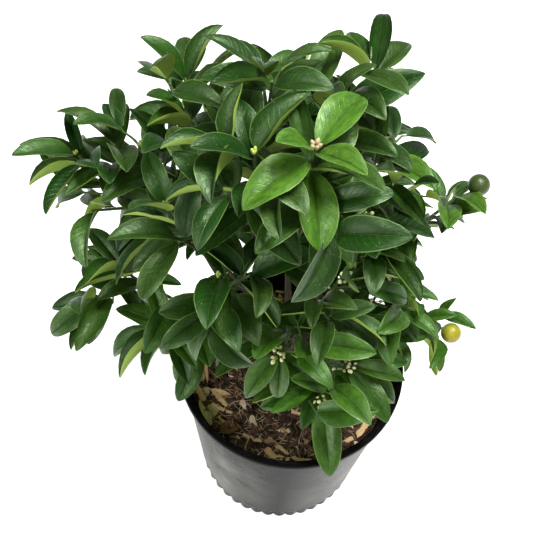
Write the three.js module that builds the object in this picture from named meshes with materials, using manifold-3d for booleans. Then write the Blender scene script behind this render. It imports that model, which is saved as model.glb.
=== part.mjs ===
// A calamondin orange bush in a black nursery pot, in millimetres, +Z up.
// The origin is the centre of the pot's flat underside. +Y points to the back of the bush, +X to its right.
//
// A short trunk stands in the soil and carries the boughs. Each bough forks at its tip into two masses of
// foliage. A mass is one solid: a stem with side twigs and leaves, grown by a seeded rule.
import * as THREE from "three";
import { mergeVertices } from "three/addons/utils/BufferGeometryUtils.js";
import Module from "manifold-3d";

const wasm = await Module();
wasm.setup();

// ---------------------------------------------------------------- driving dimensions
const GAP = 0.3; // between solids that touch
const GOLDEN_ANGLE = 137.5; // degrees from one leaf to the next round its twig

const POT = {
  height: 213,
  rimRadius: 115,
  footRadius: 92,
  wall: 2.2,
  floor: 3,
  lipHeight: 9,
  lipWidth: 4.5,
  lipRound: 2,
  footHeight: 15,
  footStep: 4,
  lobes: 24,
  lobeDepth: 1.8,
  drainHoles: 6,
  drainRadius: 6,
  drainsOut: 68,
};
const SOIL = { level: 181, flatRadius: 24, bump: 1.8, fallRight: 0.03, shoulder: 10, sectors: 28, rings: 5 };
const TRUNK = { height: 88, flareRadius: 13, radius: 8, topRadius: 5.4, leanX: -7, leanY: 3, sides: 10 };

const BOUGH = {
  share: 0.52, // of the way to the middle of its masses' tips
  rise: 8, // of its tip above that way
  spread: 0.8,
  rootRadius: 3.3,
  tipRadius: 2.5,
  sides: 6,
  steps: 4,
};
const STEM = {
  rootRadius: 1.9,
  tipRadius: 1.2,
  sides: 3,
  forkHalf: 1.75, // half the way between the feet of two stems
  stepLength: 32,
  bare: 1.5, // from its tip to its first leaf
  leaves: 8,
  spacing: 6,
};
const TWIG = {
  rootRadius: 1.5,
  tipRadius: 1.1,
  sides: 3,
  firstShare: 0.34, // of its stem's length
  lengthRatio: 0.72, // to the leaves' length
  angle: 54,
  rise: 0.3,
  bare: 1.5,
  leaves: 5,
  spacing: 5,
};
const LEAF = {
  petiole: 9,
  widthRatio: 0.47,
  keel: 0.9, // under the midrib
  footHalfWidth: 1.1,
  sunk: 0.5, // of its foot, past the twig's axis
  footRing: 3.5, // from the twig's axis to the leaf's first ring
  angle: 44, // degrees from its twig, at the twig's tip
  angleStep: 7, // more for each leaf further back
  leastBend: 16,
  moreBend: 40,
  leastFold: 8,
  moreFold: 18,
  sideTwigRatio: 0.93, // of the leaves on side twigs
  clearance: 2.6, // below a leaf and above the hollow between its edges
  margin: 1.5, // beyond a leaf's outline
  limbMargin: 0.5, // between a leaf's outline and a limb
  potClearance: 4,
};
const GROWTH = { seed: 2740, seedStep: 77, turnStep: 101, twigTurnStep: 50 }; // steps are per mass or twig
const LIMB_CLEARANCE = 0.8; // between limbs that don't branch from each other
const FRUIT = { radius: 10.5, out: 0.8, bare: 1.5, segments: 8, rings: 6 }; // out and bare count in radii
const BUD = { radius: 2.4, count: 3, out: 0.9, angle: 50 };

// Each bough: the height above the soil at which it leaves the trunk, and the masses that it carries. Each
// mass: the direction of its stem's tip from the pot's axis in degrees from +X, how far out and how high
// that tip is, the usual length of its leaves, and its number of side twigs.
const BOUGHS = [
  {
    name: "left",
    from: 44,
    masses: [
      { name: "far_left", azimuth: 165, out: 206, height: 436, leaf: 60, twigs: 3 },
      { name: "left_upper", azimuth: 161, out: 152, height: 456, leaf: 56, twigs: 2 },
    ],
  },
  {
    name: "low_left",
    from: 14,
    masses: [
      { name: "left_low", azimuth: 181, out: 160, height: 356, leaf: 58, twigs: 3 },
      { name: "left_low_front", azimuth: 199, out: 124, height: 322, leaf: 56, twigs: 2 },
    ],
  },
  {
    name: "front_left",
    from: 62,
    masses: [
      { name: "left_middle", azimuth: 184, out: 114, height: 456, leaf: 56, twigs: 2 },
      { name: "front_left", azimuth: 214, out: 84, height: 424, leaf: 56, twigs: 2 },
    ],
  },
  {
    name: "top_left",
    from: 74,
    masses: [
      { name: "top_left", azimuth: 150, out: 142, height: 514, leaf: 58, twigs: 2 },
      { name: "crown_left", azimuth: 200, out: 52, height: 536, leaf: 58, twigs: 2 },
    ],
  },
  {
    name: "top",
    from: TRUNK.height + GAP,
    masses: [
      { name: "crown_back", azimuth: 122, out: 96, height: 522, leaf: 56, twigs: 2 },
      { name: "crown_young", azimuth: 248, out: 21, height: 548, leaf: 62, twigs: 1, buds: true, young: true },
    ],
  },
  {
    name: "top_right",
    from: 72,
    masses: [
      { name: "crown_right", azimuth: 76, out: 70, height: 532, leaf: 62, twigs: 2 },
      { name: "right_upper", azimuth: 42, out: 68, height: 474, leaf: 54, twigs: 2 },
    ],
  },
  {
    name: "right",
    from: 48,
    masses: [
      { name: "right_fruit", azimuth: 30, out: 158, height: 413, leaf: 38, twigs: 2, fruit: true },
      { name: "right_middle", azimuth: 8, out: 42, height: 446, leaf: 52, twigs: 2 },
    ],
  },
  {
    name: "low_right",
    from: 18,
    masses: [
      { name: "right_low_fruit", azimuth: 5, out: 142, height: 280, leaf: 40, twigs: 2, fruit: true },
      { name: "right_low", azimuth: 9, out: 72, height: 338, leaf: 54, twigs: 2, buds: true },
    ],
  },
  {
    name: "front",
    from: 54,
    masses: [
      { name: "front_upper", azimuth: 318, out: 36, height: 400, leaf: 54, twigs: 2, buds: true },
      { name: "front_middle", azimuth: 256, out: 64, height: 336, leaf: 56, twigs: 2, buds: true },
    ],
  },
  {
    name: "low_front",
    from: 26,
    masses: [
      { name: "front_right", azimuth: 310, out: 72, height: 312, leaf: 56, twigs: 2, buds: true },
      { name: "front_low", azimuth: 292, out: 76, height: 268, leaf: 62, twigs: 1, buds: true },
    ],
  },
  {
    name: "back_left",
    from: 26,
    masses: [
      { name: "back_left", azimuth: 137, out: 160, height: 408, leaf: 56, twigs: 3 },
      { name: "back_left_low", azimuth: 143, out: 136, height: 324, leaf: 56, twigs: 2 },
    ],
  },
  {
    name: "back",
    from: 46,
    masses: [
      { name: "back_upper", azimuth: 102, out: 142, height: 440, leaf: 56, twigs: 3 },
      { name: "back_low", azimuth: 98, out: 130, height: 326, leaf: 56, twigs: 2 },
    ],
  },
  {
    name: "back_right",
    from: 32,
    masses: [
      { name: "back_right", azimuth: 70, out: 130, height: 404, leaf: 56, twigs: 2 },
      { name: "back_right_low", azimuth: 52, out: 112, height: 328, leaf: 56, twigs: 2 },
    ],
  },
];

// ---------------------------------------------------------------- small helpers
const UP = new THREE.Vector3(0, 0, 1);
const radians = THREE.MathUtils.degToRad;

// A seeded stream of numbers from 0 to 1.
function stream(seed) {
  let state = seed;
  return () => {
    state = (state * 1664525 + 1013904223) % 4294967296;
    return state / 4294967296;
  };
}

// The part of v that is square to the unit vector axis, at unit length.
function squareTo(v, axis) {
  return v.clone().addScaledVector(axis, -v.dot(axis)).normalize();
}

function lengthOf(line) {
  return line.slice(1).reduce((sum, p, i) => sum + p.distanceTo(line[i]), 0);
}

// The point at a share of a line's length, and the direction there.
function along(line, share) {
  let left = share * lengthOf(line);
  let i = 0;
  while (i < line.length - 2 && left > line[i].distanceTo(line[i + 1])) {
    left -= line[i].distanceTo(line[i + 1]);
    i += 1;
  }
  const direction = line[i + 1].clone().sub(line[i]).normalize();
  return { point: line[i].clone().addScaledVector(direction, left), direction };
}

function taper(count, from, to) {
  return Array.from({ length: count }, (_, i) => from + ((to - from) * i) / (count - 1));
}

// A direction that leaves another at an angle, turned round it by turn. Both are in degrees.
function branching(direction, turn, angle) {
  const side = squareTo(new THREE.Vector3(0.3, 0.9, 0.2), direction);
  const other = direction.clone().cross(side);
  return direction
    .clone()
    .multiplyScalar(Math.cos(radians(angle)))
    .addScaledVector(side, Math.sin(radians(angle)) * Math.cos(radians(turn)))
    .addScaledVector(other, Math.sin(radians(angle)) * Math.sin(radians(turn)));
}

// ---------------------------------------------------------------- solids
// Moves each vertex of a closed three.js geometry by place, and gives the result as a solid.
function solidOf(geometry, place = (p) => p) {
  const bare = geometry.clone();
  bare.deleteAttribute("normal");
  bare.deleteAttribute("uv");
  const spots = bare.attributes.position;
  const spot = new THREE.Vector3();
  for (let i = 0; i < spots.count; i += 1) {
    const moved = place(spot.fromBufferAttribute(spots, i));
    spots.setXYZ(i, moved.x, moved.y, moved.z);
  }
  const merged = mergeVertices(bare, 1e-3);
  return new wasm.Manifold(
    new wasm.Mesh({
      numProp: 3,
      vertProperties: new Float32Array(merged.attributes.position.array),
      triVerts: new Uint32Array(merged.index.array),
    }),
  );
}

// The largest body of a solid, without loose scraps and sealed hollows.
function mainBody(solid) {
  return solid.decompose().sort((a, b) => b.volume() - a.volume())[0];
}

function regularShape(sides) {
  const corners = Array.from({ length: sides }, (_, k) => {
    const turn = (2 * Math.PI * k) / sides;
    return new THREE.Vector2(Math.cos(turn), Math.sin(turn));
  });
  return new THREE.Shape(corners);
}

// A prism bent and tapered along a line: radii has one entry for each of the line's points. facing, where it
// is given, is the direction that its foot is cut square to.
function limb(line, radii, sides, facing) {
  const last = line.length - 1;
  const options = { depth: last, steps: last, bevelEnabled: false };
  const prism = new THREE.ExtrudeGeometry(regularShape(sides), options);
  let side = new THREE.Vector3(1, 0.2, 0.1);
  const rings = line.map((centre, i) => {
    const run = line[Math.min(i + 1, last)].clone().sub(line[Math.max(i - 1, 0)]).normalize();
    const tangent = i === 0 && facing ? facing : run;
    side = squareTo(side, tangent);
    return { centre, side, other: tangent.clone().cross(side), radius: radii[i] };
  });
  return solidOf(prism, (p) => {
    const ring = rings[Math.round(p.z)];
    return ring.centre
      .clone()
      .addScaledVector(ring.side, ring.radius * p.x)
      .addScaledVector(ring.other, ring.radius * p.y);
  });
}

// ---------------------------------------------------------------- leaves
const TWIG_WIDTH = 2; // a leaf isn't tested nearer to its twig's axis

// A leaf bends down along its length on an arc and is folded up along its midrib. root is on the twig's
// axis, ahead points along the leaf there, side across it and top out of its upper face.
function makeLeaf(root, ahead, upwards, length, bend, fold) {
  const top = squareTo(upwards, ahead);
  const reach = LEAF.petiole + length;
  return {
    root,
    ahead,
    top,
    side: ahead.clone().cross(top),
    length,
    halfWidth: (length * LEAF.widthRatio) / 2,
    reach,
    arcRadius: reach / bend,
    fold,
  };
}

function halfWidthAt(leaf, distance) {
  const share = THREE.MathUtils.clamp((distance - LEAF.petiole) / leaf.length, 0, 1);
  return Math.max(LEAF.footHalfWidth, leaf.halfWidth * Math.sin(Math.PI * share ** 0.95) ** 0.85);
}

// The point at a distance along the leaf and across it, raised above the leaf's middle surface by lift.
function leafPoint(leaf, distance, across, lift = 0) {
  const angle = distance / leaf.arcRadius;
  const raised = leaf.arcRadius + lift + Math.abs(across) * Math.sin(leaf.fold);
  return leaf.root
    .clone()
    .addScaledVector(leaf.ahead, raised * Math.sin(angle))
    .addScaledVector(leaf.top, raised * Math.cos(angle) - leaf.arcRadius)
    .addScaledVector(leaf.side, across * Math.cos(leaf.fold));
}

// Points spread over a leaf's stalk and blade, for the tests below.
const TEST_ROWS = 11;
function leafPoints(leaf) {
  const points = [0.5, 0.8].map((share) => leafPoint(leaf, share * LEAF.petiole, 0));
  for (let i = 0; i <= TEST_ROWS; i += 1) {
    const distance = LEAF.petiole + (leaf.length * (i + 0.3)) / (TEST_ROWS + 0.3);
    const halfWidth = 0.97 * halfWidthAt(leaf, distance);
    [-1, -0.5, 0, 0.5, 1].forEach((share) => points.push(leafPoint(leaf, distance, share * halfWidth)));
  }
  return points;
}

// Whether a point is in the space that a leaf keeps round itself, from a distance along it and widened by
// extra.
function leafHolds(leaf, point, from = TWIG_WIDTH, extra = 0) {
  const away = point.clone().sub(leaf.root);
  const x = away.dot(leaf.ahead);
  const y = Math.abs(away.dot(leaf.side));
  const z = away.dot(leaf.top) + leaf.arcRadius;
  const distance = Math.atan2(x, z) * leaf.arcRadius;
  if (distance < from || distance > leaf.reach + LEAF.margin + extra) return false;
  const halfWidth = halfWidthAt(leaf, distance);
  if (y > halfWidth * Math.cos(leaf.fold) + LEAF.margin + extra) return false;
  const above = Math.hypot(x, z) - leaf.arcRadius;
  const slope = Math.tan(leaf.fold);
  return above > y * slope - LEAF.clearance - extra && above < halfWidth * slope + LEAF.clearance + extra;
}

// A closed blade from its foot in the twig, over two stations, to its tip. Its section is a triangle: two
// edges and a keel under the midrib.
function leafSolid(leaf) {
  const blade = [0.3, 0.68].map((share) => LEAF.petiole + share * leaf.length);
  const stations = [-LEAF.sunk, LEAF.footRing, ...blade, leaf.reach];
  const profile = stations.map((_, i) => new THREE.Vector2(i % (stations.length - 1) === 0 ? 0 : 1, i));
  return solidOf(new THREE.LatheGeometry(profile, 3, Math.PI), (p) => {
    const distance = stations[Math.round(p.y)];
    const isEdge = p.z > 0.1;
    const across = isEdge ? Math.sign(p.x) * halfWidthAt(leaf, distance) : 0;
    return leafPoint(leaf, distance, across, p.z < -0.1 ? -LEAF.keel : 0);
  });
}

// ---------------------------------------------------------------- what is already in the way
const limbParts = []; // the straight parts of every limb grown so far
const leaves = []; // every leaf grown so far
const POINT_PITCH = 3;

function addLimbParts(line, radii, owner) {
  for (let i = 1; i < line.length; i += 1) {
    const part = new THREE.Line3(line[i - 1], line[i]);
    const count = Math.ceil(part.distance() / POINT_PITCH);
    const points = Array.from({ length: count + 1 }, (_, k) => part.at(k / count, new THREE.Vector3()));
    limbParts.push({ line: part, points, radius: radii[i - 1], owner });
  }
}

const nearest = new THREE.Vector3();
function gapToPart(point, part) {
  part.line.closestPointToPoint(point, true, nearest);
  return nearest.distanceTo(point) - part.radius;
}

// Whether a point is in the pot or in the soil, or nearer to them than margin.
function inPot(point, margin) {
  const radius = Math.hypot(point.x, point.y);
  if (point.z > POT.height + margin || radius > POT.rimRadius + margin) return false;
  if (radius > innerRadius(SOIL.level) - 5 - margin) return true;
  return point.z < SOIL.level + 2 * SOIL.bump + margin;
}

// Whether a limb may run along a line. Near its start it may be in or close to the limbs that it grows from.
function lineIsClear(line, radius, parents) {
  const total = lengthOf(line);
  const count = Math.ceil(total / (POINT_PITCH + 1));
  const isParent = (part) => parents.includes(part.owner);
  for (let i = 1; i <= count; i += 1) {
    const { point } = along(line, i / count);
    if (inPot(point, radius)) return false;
    if (limbParts.some((part) => isParent(part) && gapToPart(point, part) < 0)) continue;
    const nearStart = (total * i) / count < 8 * radius;
    const tested = limbParts.filter((part) => !nearStart || !isParent(part));
    if (tested.some((part) => gapToPart(point, part) < radius + LIMB_CLEARANCE)) return false;
  }
  return true;
}

// Whether a leaf stays out of the pot, off every limb and off every other leaf. Near its foot it may be close
// to its own twig.
function leafIsClear(leaf, owner) {
  const points = leafPoints(leaf);
  const middle = leafPoint(leaf, leaf.reach / 2, 0);
  if (points.some((p) => inPot(p, LEAF.potClearance))) return false;
  for (const part of limbParts) {
    if (gapToPart(middle, part) > leaf.reach) continue;
    const from = part.owner === owner ? LEAF.petiole + 0.15 * leaf.length : TWIG_WIDTH;
    const extra = part.radius + LEAF.limbMargin - LEAF.margin;
    if (part.points.some((p) => leafHolds(leaf, p, from, extra))) return false;
  }
  return !leaves.some(
    (other) =>
      other.root.distanceTo(middle) < other.reach + leaf.reach &&
      (points.some((p) => leafHolds(other, p)) || other.points.some((p) => leafHolds(leaf, p))),
  );
}

// ---------------------------------------------------------------- the pot and its soil
// The wall's outer radius at a height below the lip.
function wallRadius(z) {
  const top = POT.rimRadius - POT.lipWidth;
  return POT.footRadius + ((top - POT.footRadius) * z) / (POT.height - POT.lipHeight);
}

// The wall's inner radius at a height.
function innerRadius(z) {
  const top = POT.rimRadius - POT.lipWidth - POT.wall;
  const low = wallRadius(POT.floor) - POT.wall - 2 * POT.lobeDepth;
  return low + ((top - low) * (z - POT.floor)) / (POT.height - POT.floor);
}

// Each place turns the lathe's axis from Y to Z.
function makeShell() {
  const lipBottom = POT.height - POT.lipHeight;
  const footTop = POT.footHeight + POT.footStep;
  const profile = [
    [0, 0],
    [POT.footRadius - POT.lobeDepth, 0],
    [wallRadius(POT.footHeight) - POT.lobeDepth / 2, POT.footHeight],
    [wallRadius(footTop), footTop],
    [wallRadius(lipBottom), lipBottom],
    [POT.rimRadius - 0.4 * POT.lipRound, lipBottom],
    [POT.rimRadius, POT.height - POT.lipRound],
    [POT.rimRadius - 0.75 * POT.lipRound, POT.height],
    [innerRadius(POT.height), POT.height],
    [innerRadius(POT.floor), POT.floor],
    [0, POT.floor],
  ].map(([radius, z]) => new THREE.Vector2(radius, z));
  const sectors = 2 * POT.lobes;
  return solidOf(new THREE.LatheGeometry(profile, sectors), (p) => {
    const radius = Math.hypot(p.x, p.z);
    const inFoot = p.y <= POT.footHeight && radius > POT.footRadius - POT.lobeDepth - 1;
    const sector = Math.round((Math.atan2(p.x, p.z) * sectors) / (2 * Math.PI));
    const outwards = sector % 2 === 0 ? 1 : -1;
    const scale = inFoot ? 1 + (outwards * POT.lobeDepth) / (2 * radius) : 1;
    return new THREE.Vector3(p.z * scale, p.x * scale, p.y);
  });
}

function makePot() {
  const hole = new THREE.CylinderGeometry(POT.drainRadius, POT.drainRadius, 3 * POT.floor, 6);
  const holes = Array.from({ length: POT.drainHoles }, (_, k) => {
    const turn = (2 * Math.PI * (k + 0.5)) / POT.drainHoles;
    const x = POT.drainsOut * Math.cos(turn);
    const y = POT.drainsOut * Math.sin(turn);
    return solidOf(hole, (p) => new THREE.Vector3(p.z + x, p.x + y, p.y));
  });
  return makeShell().subtract(wasm.Manifold.union(holes));
}

// The soil's height: level round the trunk, bumpy further out, and lower towards the right.
function soilHeight(x, y) {
  const outer = Math.max(0, Math.hypot(x, y) - SOIL.flatRadius) / (POT.rimRadius - SOIL.flatRadius);
  const bumps = Math.sin(x * 0.19 + 1) * Math.cos(y * 0.17 - 2) + 0.6 * Math.sin((x + y) * 0.31);
  return SOIL.level + Math.min(1, outer * 3) * (SOIL.bump * bumps - SOIL.fallRight * x);
}

function makeSoil() {
  const bottom = POT.floor + GAP;
  const shoulder = SOIL.level - SOIL.shoulder;
  const flatSide = Math.cos(Math.PI / (2 * POT.lobes));
  const radiusAt = (z) => innerRadius(z) * flatSide - GAP;
  const edge = radiusAt(shoulder);
  const radii = taper(SOIL.rings, edge, SOIL.flatRadius);
  const profile = [
    [0, bottom],
    [radiusAt(bottom), bottom],
    [edge, shoulder],
    ...radii.map((radius) => [radius, SOIL.level]),
    [0, SOIL.level],
  ].map(([radius, z]) => new THREE.Vector2(radius, z));
  return solidOf(new THREE.LatheGeometry(profile, SOIL.sectors), (p) => {
    const z = p.y === SOIL.level ? soilHeight(p.z, p.x) : p.y;
    return new THREE.Vector3(p.z, p.x, z);
  });
}

// ---------------------------------------------------------------- trunk, boughs and stems
const trunkFoot = new THREE.Vector3(0, 0, SOIL.level + GAP);
const trunkTop = trunkFoot.clone().add(new THREE.Vector3(TRUNK.leanX, TRUNK.leanY, TRUNK.height));

// The trunk's rings, closer together where its root flare is.
function trunkRings() {
  const shares = [0, 0.07, 0.2, 0.45, 0.75, 1];
  const flare = TRUNK.flareRadius - TRUNK.radius;
  return {
    line: shares.map((s) => trunkFoot.clone().lerp(trunkTop, s)),
    radii: shares.map((s) => TRUNK.radius + (TRUNK.topRadius - TRUNK.radius) * s + flare * (1 - s) ** 9),
  };
}

function tipOf(mass) {
  const turn = radians(mass.azimuth);
  return new THREE.Vector3(mass.out * Math.cos(turn), mass.out * Math.sin(turn), mass.height);
}

// The ways in which a limb may bow sideways and up to pass other limbs, in the order tried.
const BOWS_ACROSS = [0, 8, -8, 16, -16, 24, -24, 32, -32];
const BOWS_UP = [0, 8, -8, 16, 24];
const BOWS = BOWS_ACROSS.flatMap((across) => BOWS_UP.map((up) => [across, up]));

// A smooth line from start to tip that leaves start in the direction first and is clear of other limbs.
function clearLine(start, first, tip, steps, radius, parents, name) {
  const straight = tip.clone().sub(start).normalize();
  const reach = tip.distanceTo(start);
  const last = straight.clone().addScaledVector(UP, 0.4).normalize();
  const across = squareTo(new THREE.Vector3(-straight.y, straight.x, 0.01), straight);
  const above = across.clone().cross(straight).multiplyScalar(-1);
  for (const [bowAcross, bowUp] of BOWS) {
    const bow = across.clone().multiplyScalar(bowAcross).addScaledVector(above, bowUp);
    const line = new THREE.CubicBezierCurve3(
      start,
      start.clone().addScaledVector(first, reach * 0.33).addScaledVector(bow, 0.5),
      tip.clone().addScaledVector(last, -reach * 0.33).add(bow),
      tip,
    ).getPoints(steps);
    if (lineIsClear(line, radius, parents)) return line;
  }
  throw new Error(`${name} finds no clear way to its tip`);
}

// A bough leaves the trunk's axis outwards, or goes on from the trunk's top.
function makeBough(row, trunk) {
  const start = trunkFoot.clone().lerp(trunkTop, row.from / TRUNK.height);
  const target = new THREE.Vector3();
  row.masses.forEach((mass) => target.addScaledVector(tipOf(mass), 1 / row.masses.length));
  const tip = start.clone().lerp(target, BOUGH.share).addScaledVector(UP, BOUGH.rise);
  const straight = target.clone().sub(start).normalize();
  const spread = row.from < TRUNK.height ? BOUGH.spread : 0;
  const first = straight.clone().setZ(0).normalize().multiplyScalar(spread).add(straight).normalize();
  const line = clearLine(start, first, tip, BOUGH.steps, BOUGH.rootRadius, ["trunk"], row.name);
  const radii = taper(line.length, BOUGH.rootRadius, BOUGH.tipRadius);
  addLimbParts(line, radii, row.name);
  return { ...row, line, solid: mainBody(limb(line, radii, BOUGH.sides).subtract(trunk)) };
}

// The stems of a bough's masses start side by side, just clear of its tip.
function makeStem(mass, index, bough) {
  const { direction } = along(bough.line, 1);
  const tip = tipOf(mass);
  const [one, two] = bough.masses.map(tipOf);
  const apart = squareTo(two.clone().sub(one), direction).multiplyScalar(index === 0 ? -1 : 1);
  const start = bough.line
    .at(-1)
    .clone()
    .addScaledVector(direction, GAP)
    .addScaledVector(apart, STEM.forkHalf);
  const straight = tip.clone().sub(start).normalize();
  const ahead = direction.clone().add(straight).multiplyScalar(0.5);
  const first = ahead.addScaledVector(apart, 0.3).normalize();
  const steps = Math.max(3, Math.round(tip.distanceTo(start) / STEM.stepLength));
  const parents = [bough.name, ...bough.masses.map((m) => m.name)];
  const line = clearLine(start, first, tip, steps, STEM.rootRadius, parents, mass.name);
  const radii = taper(line.length, STEM.rootRadius, STEM.tipRadius);
  addLimbParts(line, radii, mass.name);
  return { line, radii, facing: direction };
}

// ---------------------------------------------------------------- side twigs and leaves
// The turns round its stem that a side twig tries, in degrees.
const TWIG_TURNS = [0, 55, -55, 110, -110, 165];

function growTwigs(mass) {
  const twigs = [];
  for (let k = 0; k < mass.twigs; k += 1) {
    const share = TWIG.firstShare + (0.5 * (k + 0.6 * mass.random())) / mass.twigs;
    const turn = mass.phase + k * GOLDEN_ANGLE + 40 * mass.random();
    const length = TWIG.lengthRatio * mass.leaf * (0.8 + 0.5 * mass.random());
    const { point, direction } = along(mass.stem.line, share);
    const owner = `${mass.name} ${k}`;
    for (const more of TWIG_TURNS) {
      const way = branching(direction, turn + more, TWIG.angle).addScaledVector(UP, TWIG.rise).normalize();
      const line = [point, point.clone().addScaledVector(way, length)];
      const radii = taper(line.length, TWIG.rootRadius, TWIG.tipRadius);
      if (!lineIsClear(line, TWIG.rootRadius, [mass.name])) continue;
      addLimbParts(line, radii, owner);
      twigs.push({ line, radii, owner });
      break;
    }
  }
  return twigs;
}

// The leaves' places on a twig, counted from its tip. They stand closest at the tip, and a fruit has bare
// twig behind it.
function leafPlaces(line, owner, kind, phase, size, bare) {
  const total = lengthOf(line);
  const places = [];
  let back = bare;
  for (let rank = 0; rank < kind.leaves && back < 0.85 * total; rank += 1) {
    places.push({ ...along(line, 1 - back / total), owner, rank, turn: phase + rank * GOLDEN_ANGLE, size });
    back += kind.spacing * (1 + 0.45 * rank);
  }
  return places;
}

// The turns round its twig and the tilts from it that a leaf tries, in degrees.
const LEAF_TRIES = [
  [0, 0],
  [16, 0],
  [-16, 0],
  [0, 12],
  [0, -14],
  [30, 6],
  [-30, 6],
  [46, 0],
  [-46, 0],
  [20, 24],
  [-20, 24],
  [64, 10],
  [-64, 10],
  [80, -10],
  [-80, -10],
];

function growLeaf(place, random) {
  const angle = LEAF.angle + Math.min(place.rank, 5) * LEAF.angleStep + 16 * (random() - 0.5);
  const length = place.size * (0.8 + 0.34 * random());
  const bend = radians(LEAF.leastBend + LEAF.moreBend * random());
  const fold = radians(LEAF.leastFold + LEAF.moreFold * random());
  const roll = 0.5 * (random() - 0.5);
  const turn = place.turn + 24 * (random() - 0.5);
  for (const [moreTurn, moreAngle] of LEAF_TRIES) {
    const way = branching(place.direction, turn + moreTurn, angle + moreAngle);
    const ahead = way.addScaledVector(UP, 0.06).normalize();
    const across = ahead.clone().cross(UP);
    const upwards = UP.clone().addScaledVector(place.direction, 0.45).addScaledVector(across, roll);
    const leaf = makeLeaf(place.point, ahead, upwards, length, bend, fold);
    if (leafIsClear(leaf, place.owner)) {
      leaf.points = leafPoints(leaf);
      leaves.push(leaf);
      return leaf;
    }
  }
  return null;
}

// ---------------------------------------------------------------- fruit and buds
// The fruit or the buds at the tip of a mass's stem, each sunk a little in it.
function tipShapes(mass) {
  const { point, direction } = along(mass.stem.line, 1);
  if (mass.fruit) {
    const centre = point.clone().addScaledVector(direction, FRUIT.out * FRUIT.radius);
    const shape = new THREE.SphereGeometry(FRUIT.radius, FRUIT.segments, FRUIT.rings);
    return [{ centre, radius: FRUIT.radius, shape }];
  }
  return Array.from({ length: mass.buds ? BUD.count : 0 }, (_, k) => {
    const way = branching(direction, (360 * k) / BUD.count, BUD.angle);
    const centre = point.clone().addScaledVector(way, BUD.out * BUD.radius);
    return { centre, radius: BUD.radius, shape: new THREE.OctahedronGeometry(BUD.radius) };
  });
}

function growTip(mass) {
  const shapes = tipShapes(mass);
  shapes.forEach(({ centre, radius }) => {
    const above = centre.clone().addScaledVector(UP, 0.1);
    addLimbParts([centre, above], [radius, radius], `${mass.name} tip`);
  });
  return shapes;
}

// ---------------------------------------------------------------- the whole bush
const trunk = trunkRings();
addLimbParts(trunk.line, trunk.radii, "trunk");
const widerRadii = trunk.radii.map((radius) => radius + GAP);
const trunkWithGap = limb(trunk.line, widerRadii, TRUNK.sides, UP);
const boughs = BOUGHS.map((row) => makeBough(row, trunkWithGap));

const masses = boughs.flatMap((bough) =>
  bough.masses.map((mass, index) => ({ ...mass, stem: makeStem(mass, index, bough), leaves: [] })),
);
masses.forEach((mass, i) => {
  mass.random = stream(GROWTH.seed + GROWTH.seedStep * i);
  mass.phase = GROWTH.turnStep * i;
  mass.tip = growTip(mass);
  mass.sideTwigs = growTwigs(mass);
});
masses.forEach((mass) => {
  const bare = mass.fruit ? FRUIT.bare * FRUIT.radius : STEM.bare;
  mass.places = leafPlaces(mass.stem.line, mass.name, STEM, mass.phase, mass.leaf, bare);
  mass.sideTwigs.forEach((twig, k) => {
    const size = LEAF.sideTwigRatio * mass.leaf;
    const phase = mass.phase + GROWTH.twigTurnStep * k;
    mass.places.push(...leafPlaces(twig.line, twig.owner, TWIG, phase, size, TWIG.bare));
  });
});

// The leaves at the tips grow first, so that each tip is full.
for (let rank = 0; rank < STEM.leaves; rank += 1) {
  for (const mass of masses) {
    for (const place of mass.places.filter((p) => p.rank === rank)) {
      const leaf = growLeaf(place, mass.random);
      if (leaf) mass.leaves.push(leaf);
    }
  }
}

function massSolid(mass) {
  const pieces = [limb(mass.stem.line, mass.stem.radii, STEM.sides, mass.stem.facing)];
  mass.sideTwigs.forEach((twig) => pieces.push(limb(twig.line, twig.radii, TWIG.sides)));
  mass.leaves.forEach((leaf) => pieces.push(leafSolid(leaf)));
  mass.tip.forEach(({ centre, shape }) => pieces.push(solidOf(shape, (p) => p.clone().add(centre))));
  return mainBody(wasm.Manifold.union(pieces));
}

// ---------------------------------------------------------------- materials and nodes
function paint(color, roughness) {
  return new THREE.MeshStandardMaterial({ color, roughness, metalness: 0 });
}
const PLASTIC = paint(0x2b2c2c, 0.45);
const MULCH = paint(0x3a2a20, 0.95);
const BARK = paint(0x4a4032, 0.8);
const LEAVES = paint(0x2c5a2e, 0.4);
const YOUNG_LEAVES = paint(0x5c9a3a, 0.4);

const bush = new THREE.Group();
function addNode(name, solid, material) {
  const mesh = solid.getMesh();
  const geometry = new THREE.BufferGeometry();
  geometry.setAttribute("position", new THREE.BufferAttribute(mesh.vertProperties, 3));
  geometry.setIndex(new THREE.BufferAttribute(mesh.triVerts, 1));
  geometry.computeVertexNormals();
  const node = new THREE.Mesh(geometry, material);
  node.name = name;
  bush.add(node);
}

addNode("pot", makePot(), PLASTIC);
addNode("soil", makeSoil(), MULCH);
addNode("trunk", limb(trunk.line, trunk.radii, TRUNK.sides, UP), BARK);
boughs.forEach((bough) => addNode(`bough_${bough.name}`, bough.solid, BARK));
masses.forEach((mass) => {
  addNode(`foliage_${mass.name}`, massSolid(mass), mass.young ? YOUNG_LEAVES : LEAVES);
});

export default bush;
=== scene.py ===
"""A calamondin orange bush in a black nursery pot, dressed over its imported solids.

The bush grows by the same seeded rule as its solids, in millimetres, and is then carried on to finer twigs
and more leaves. Meshes are made in metres.
"""

import math

import bpy
import numpy as np
from mathutils import Matrix, Vector, noise


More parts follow.
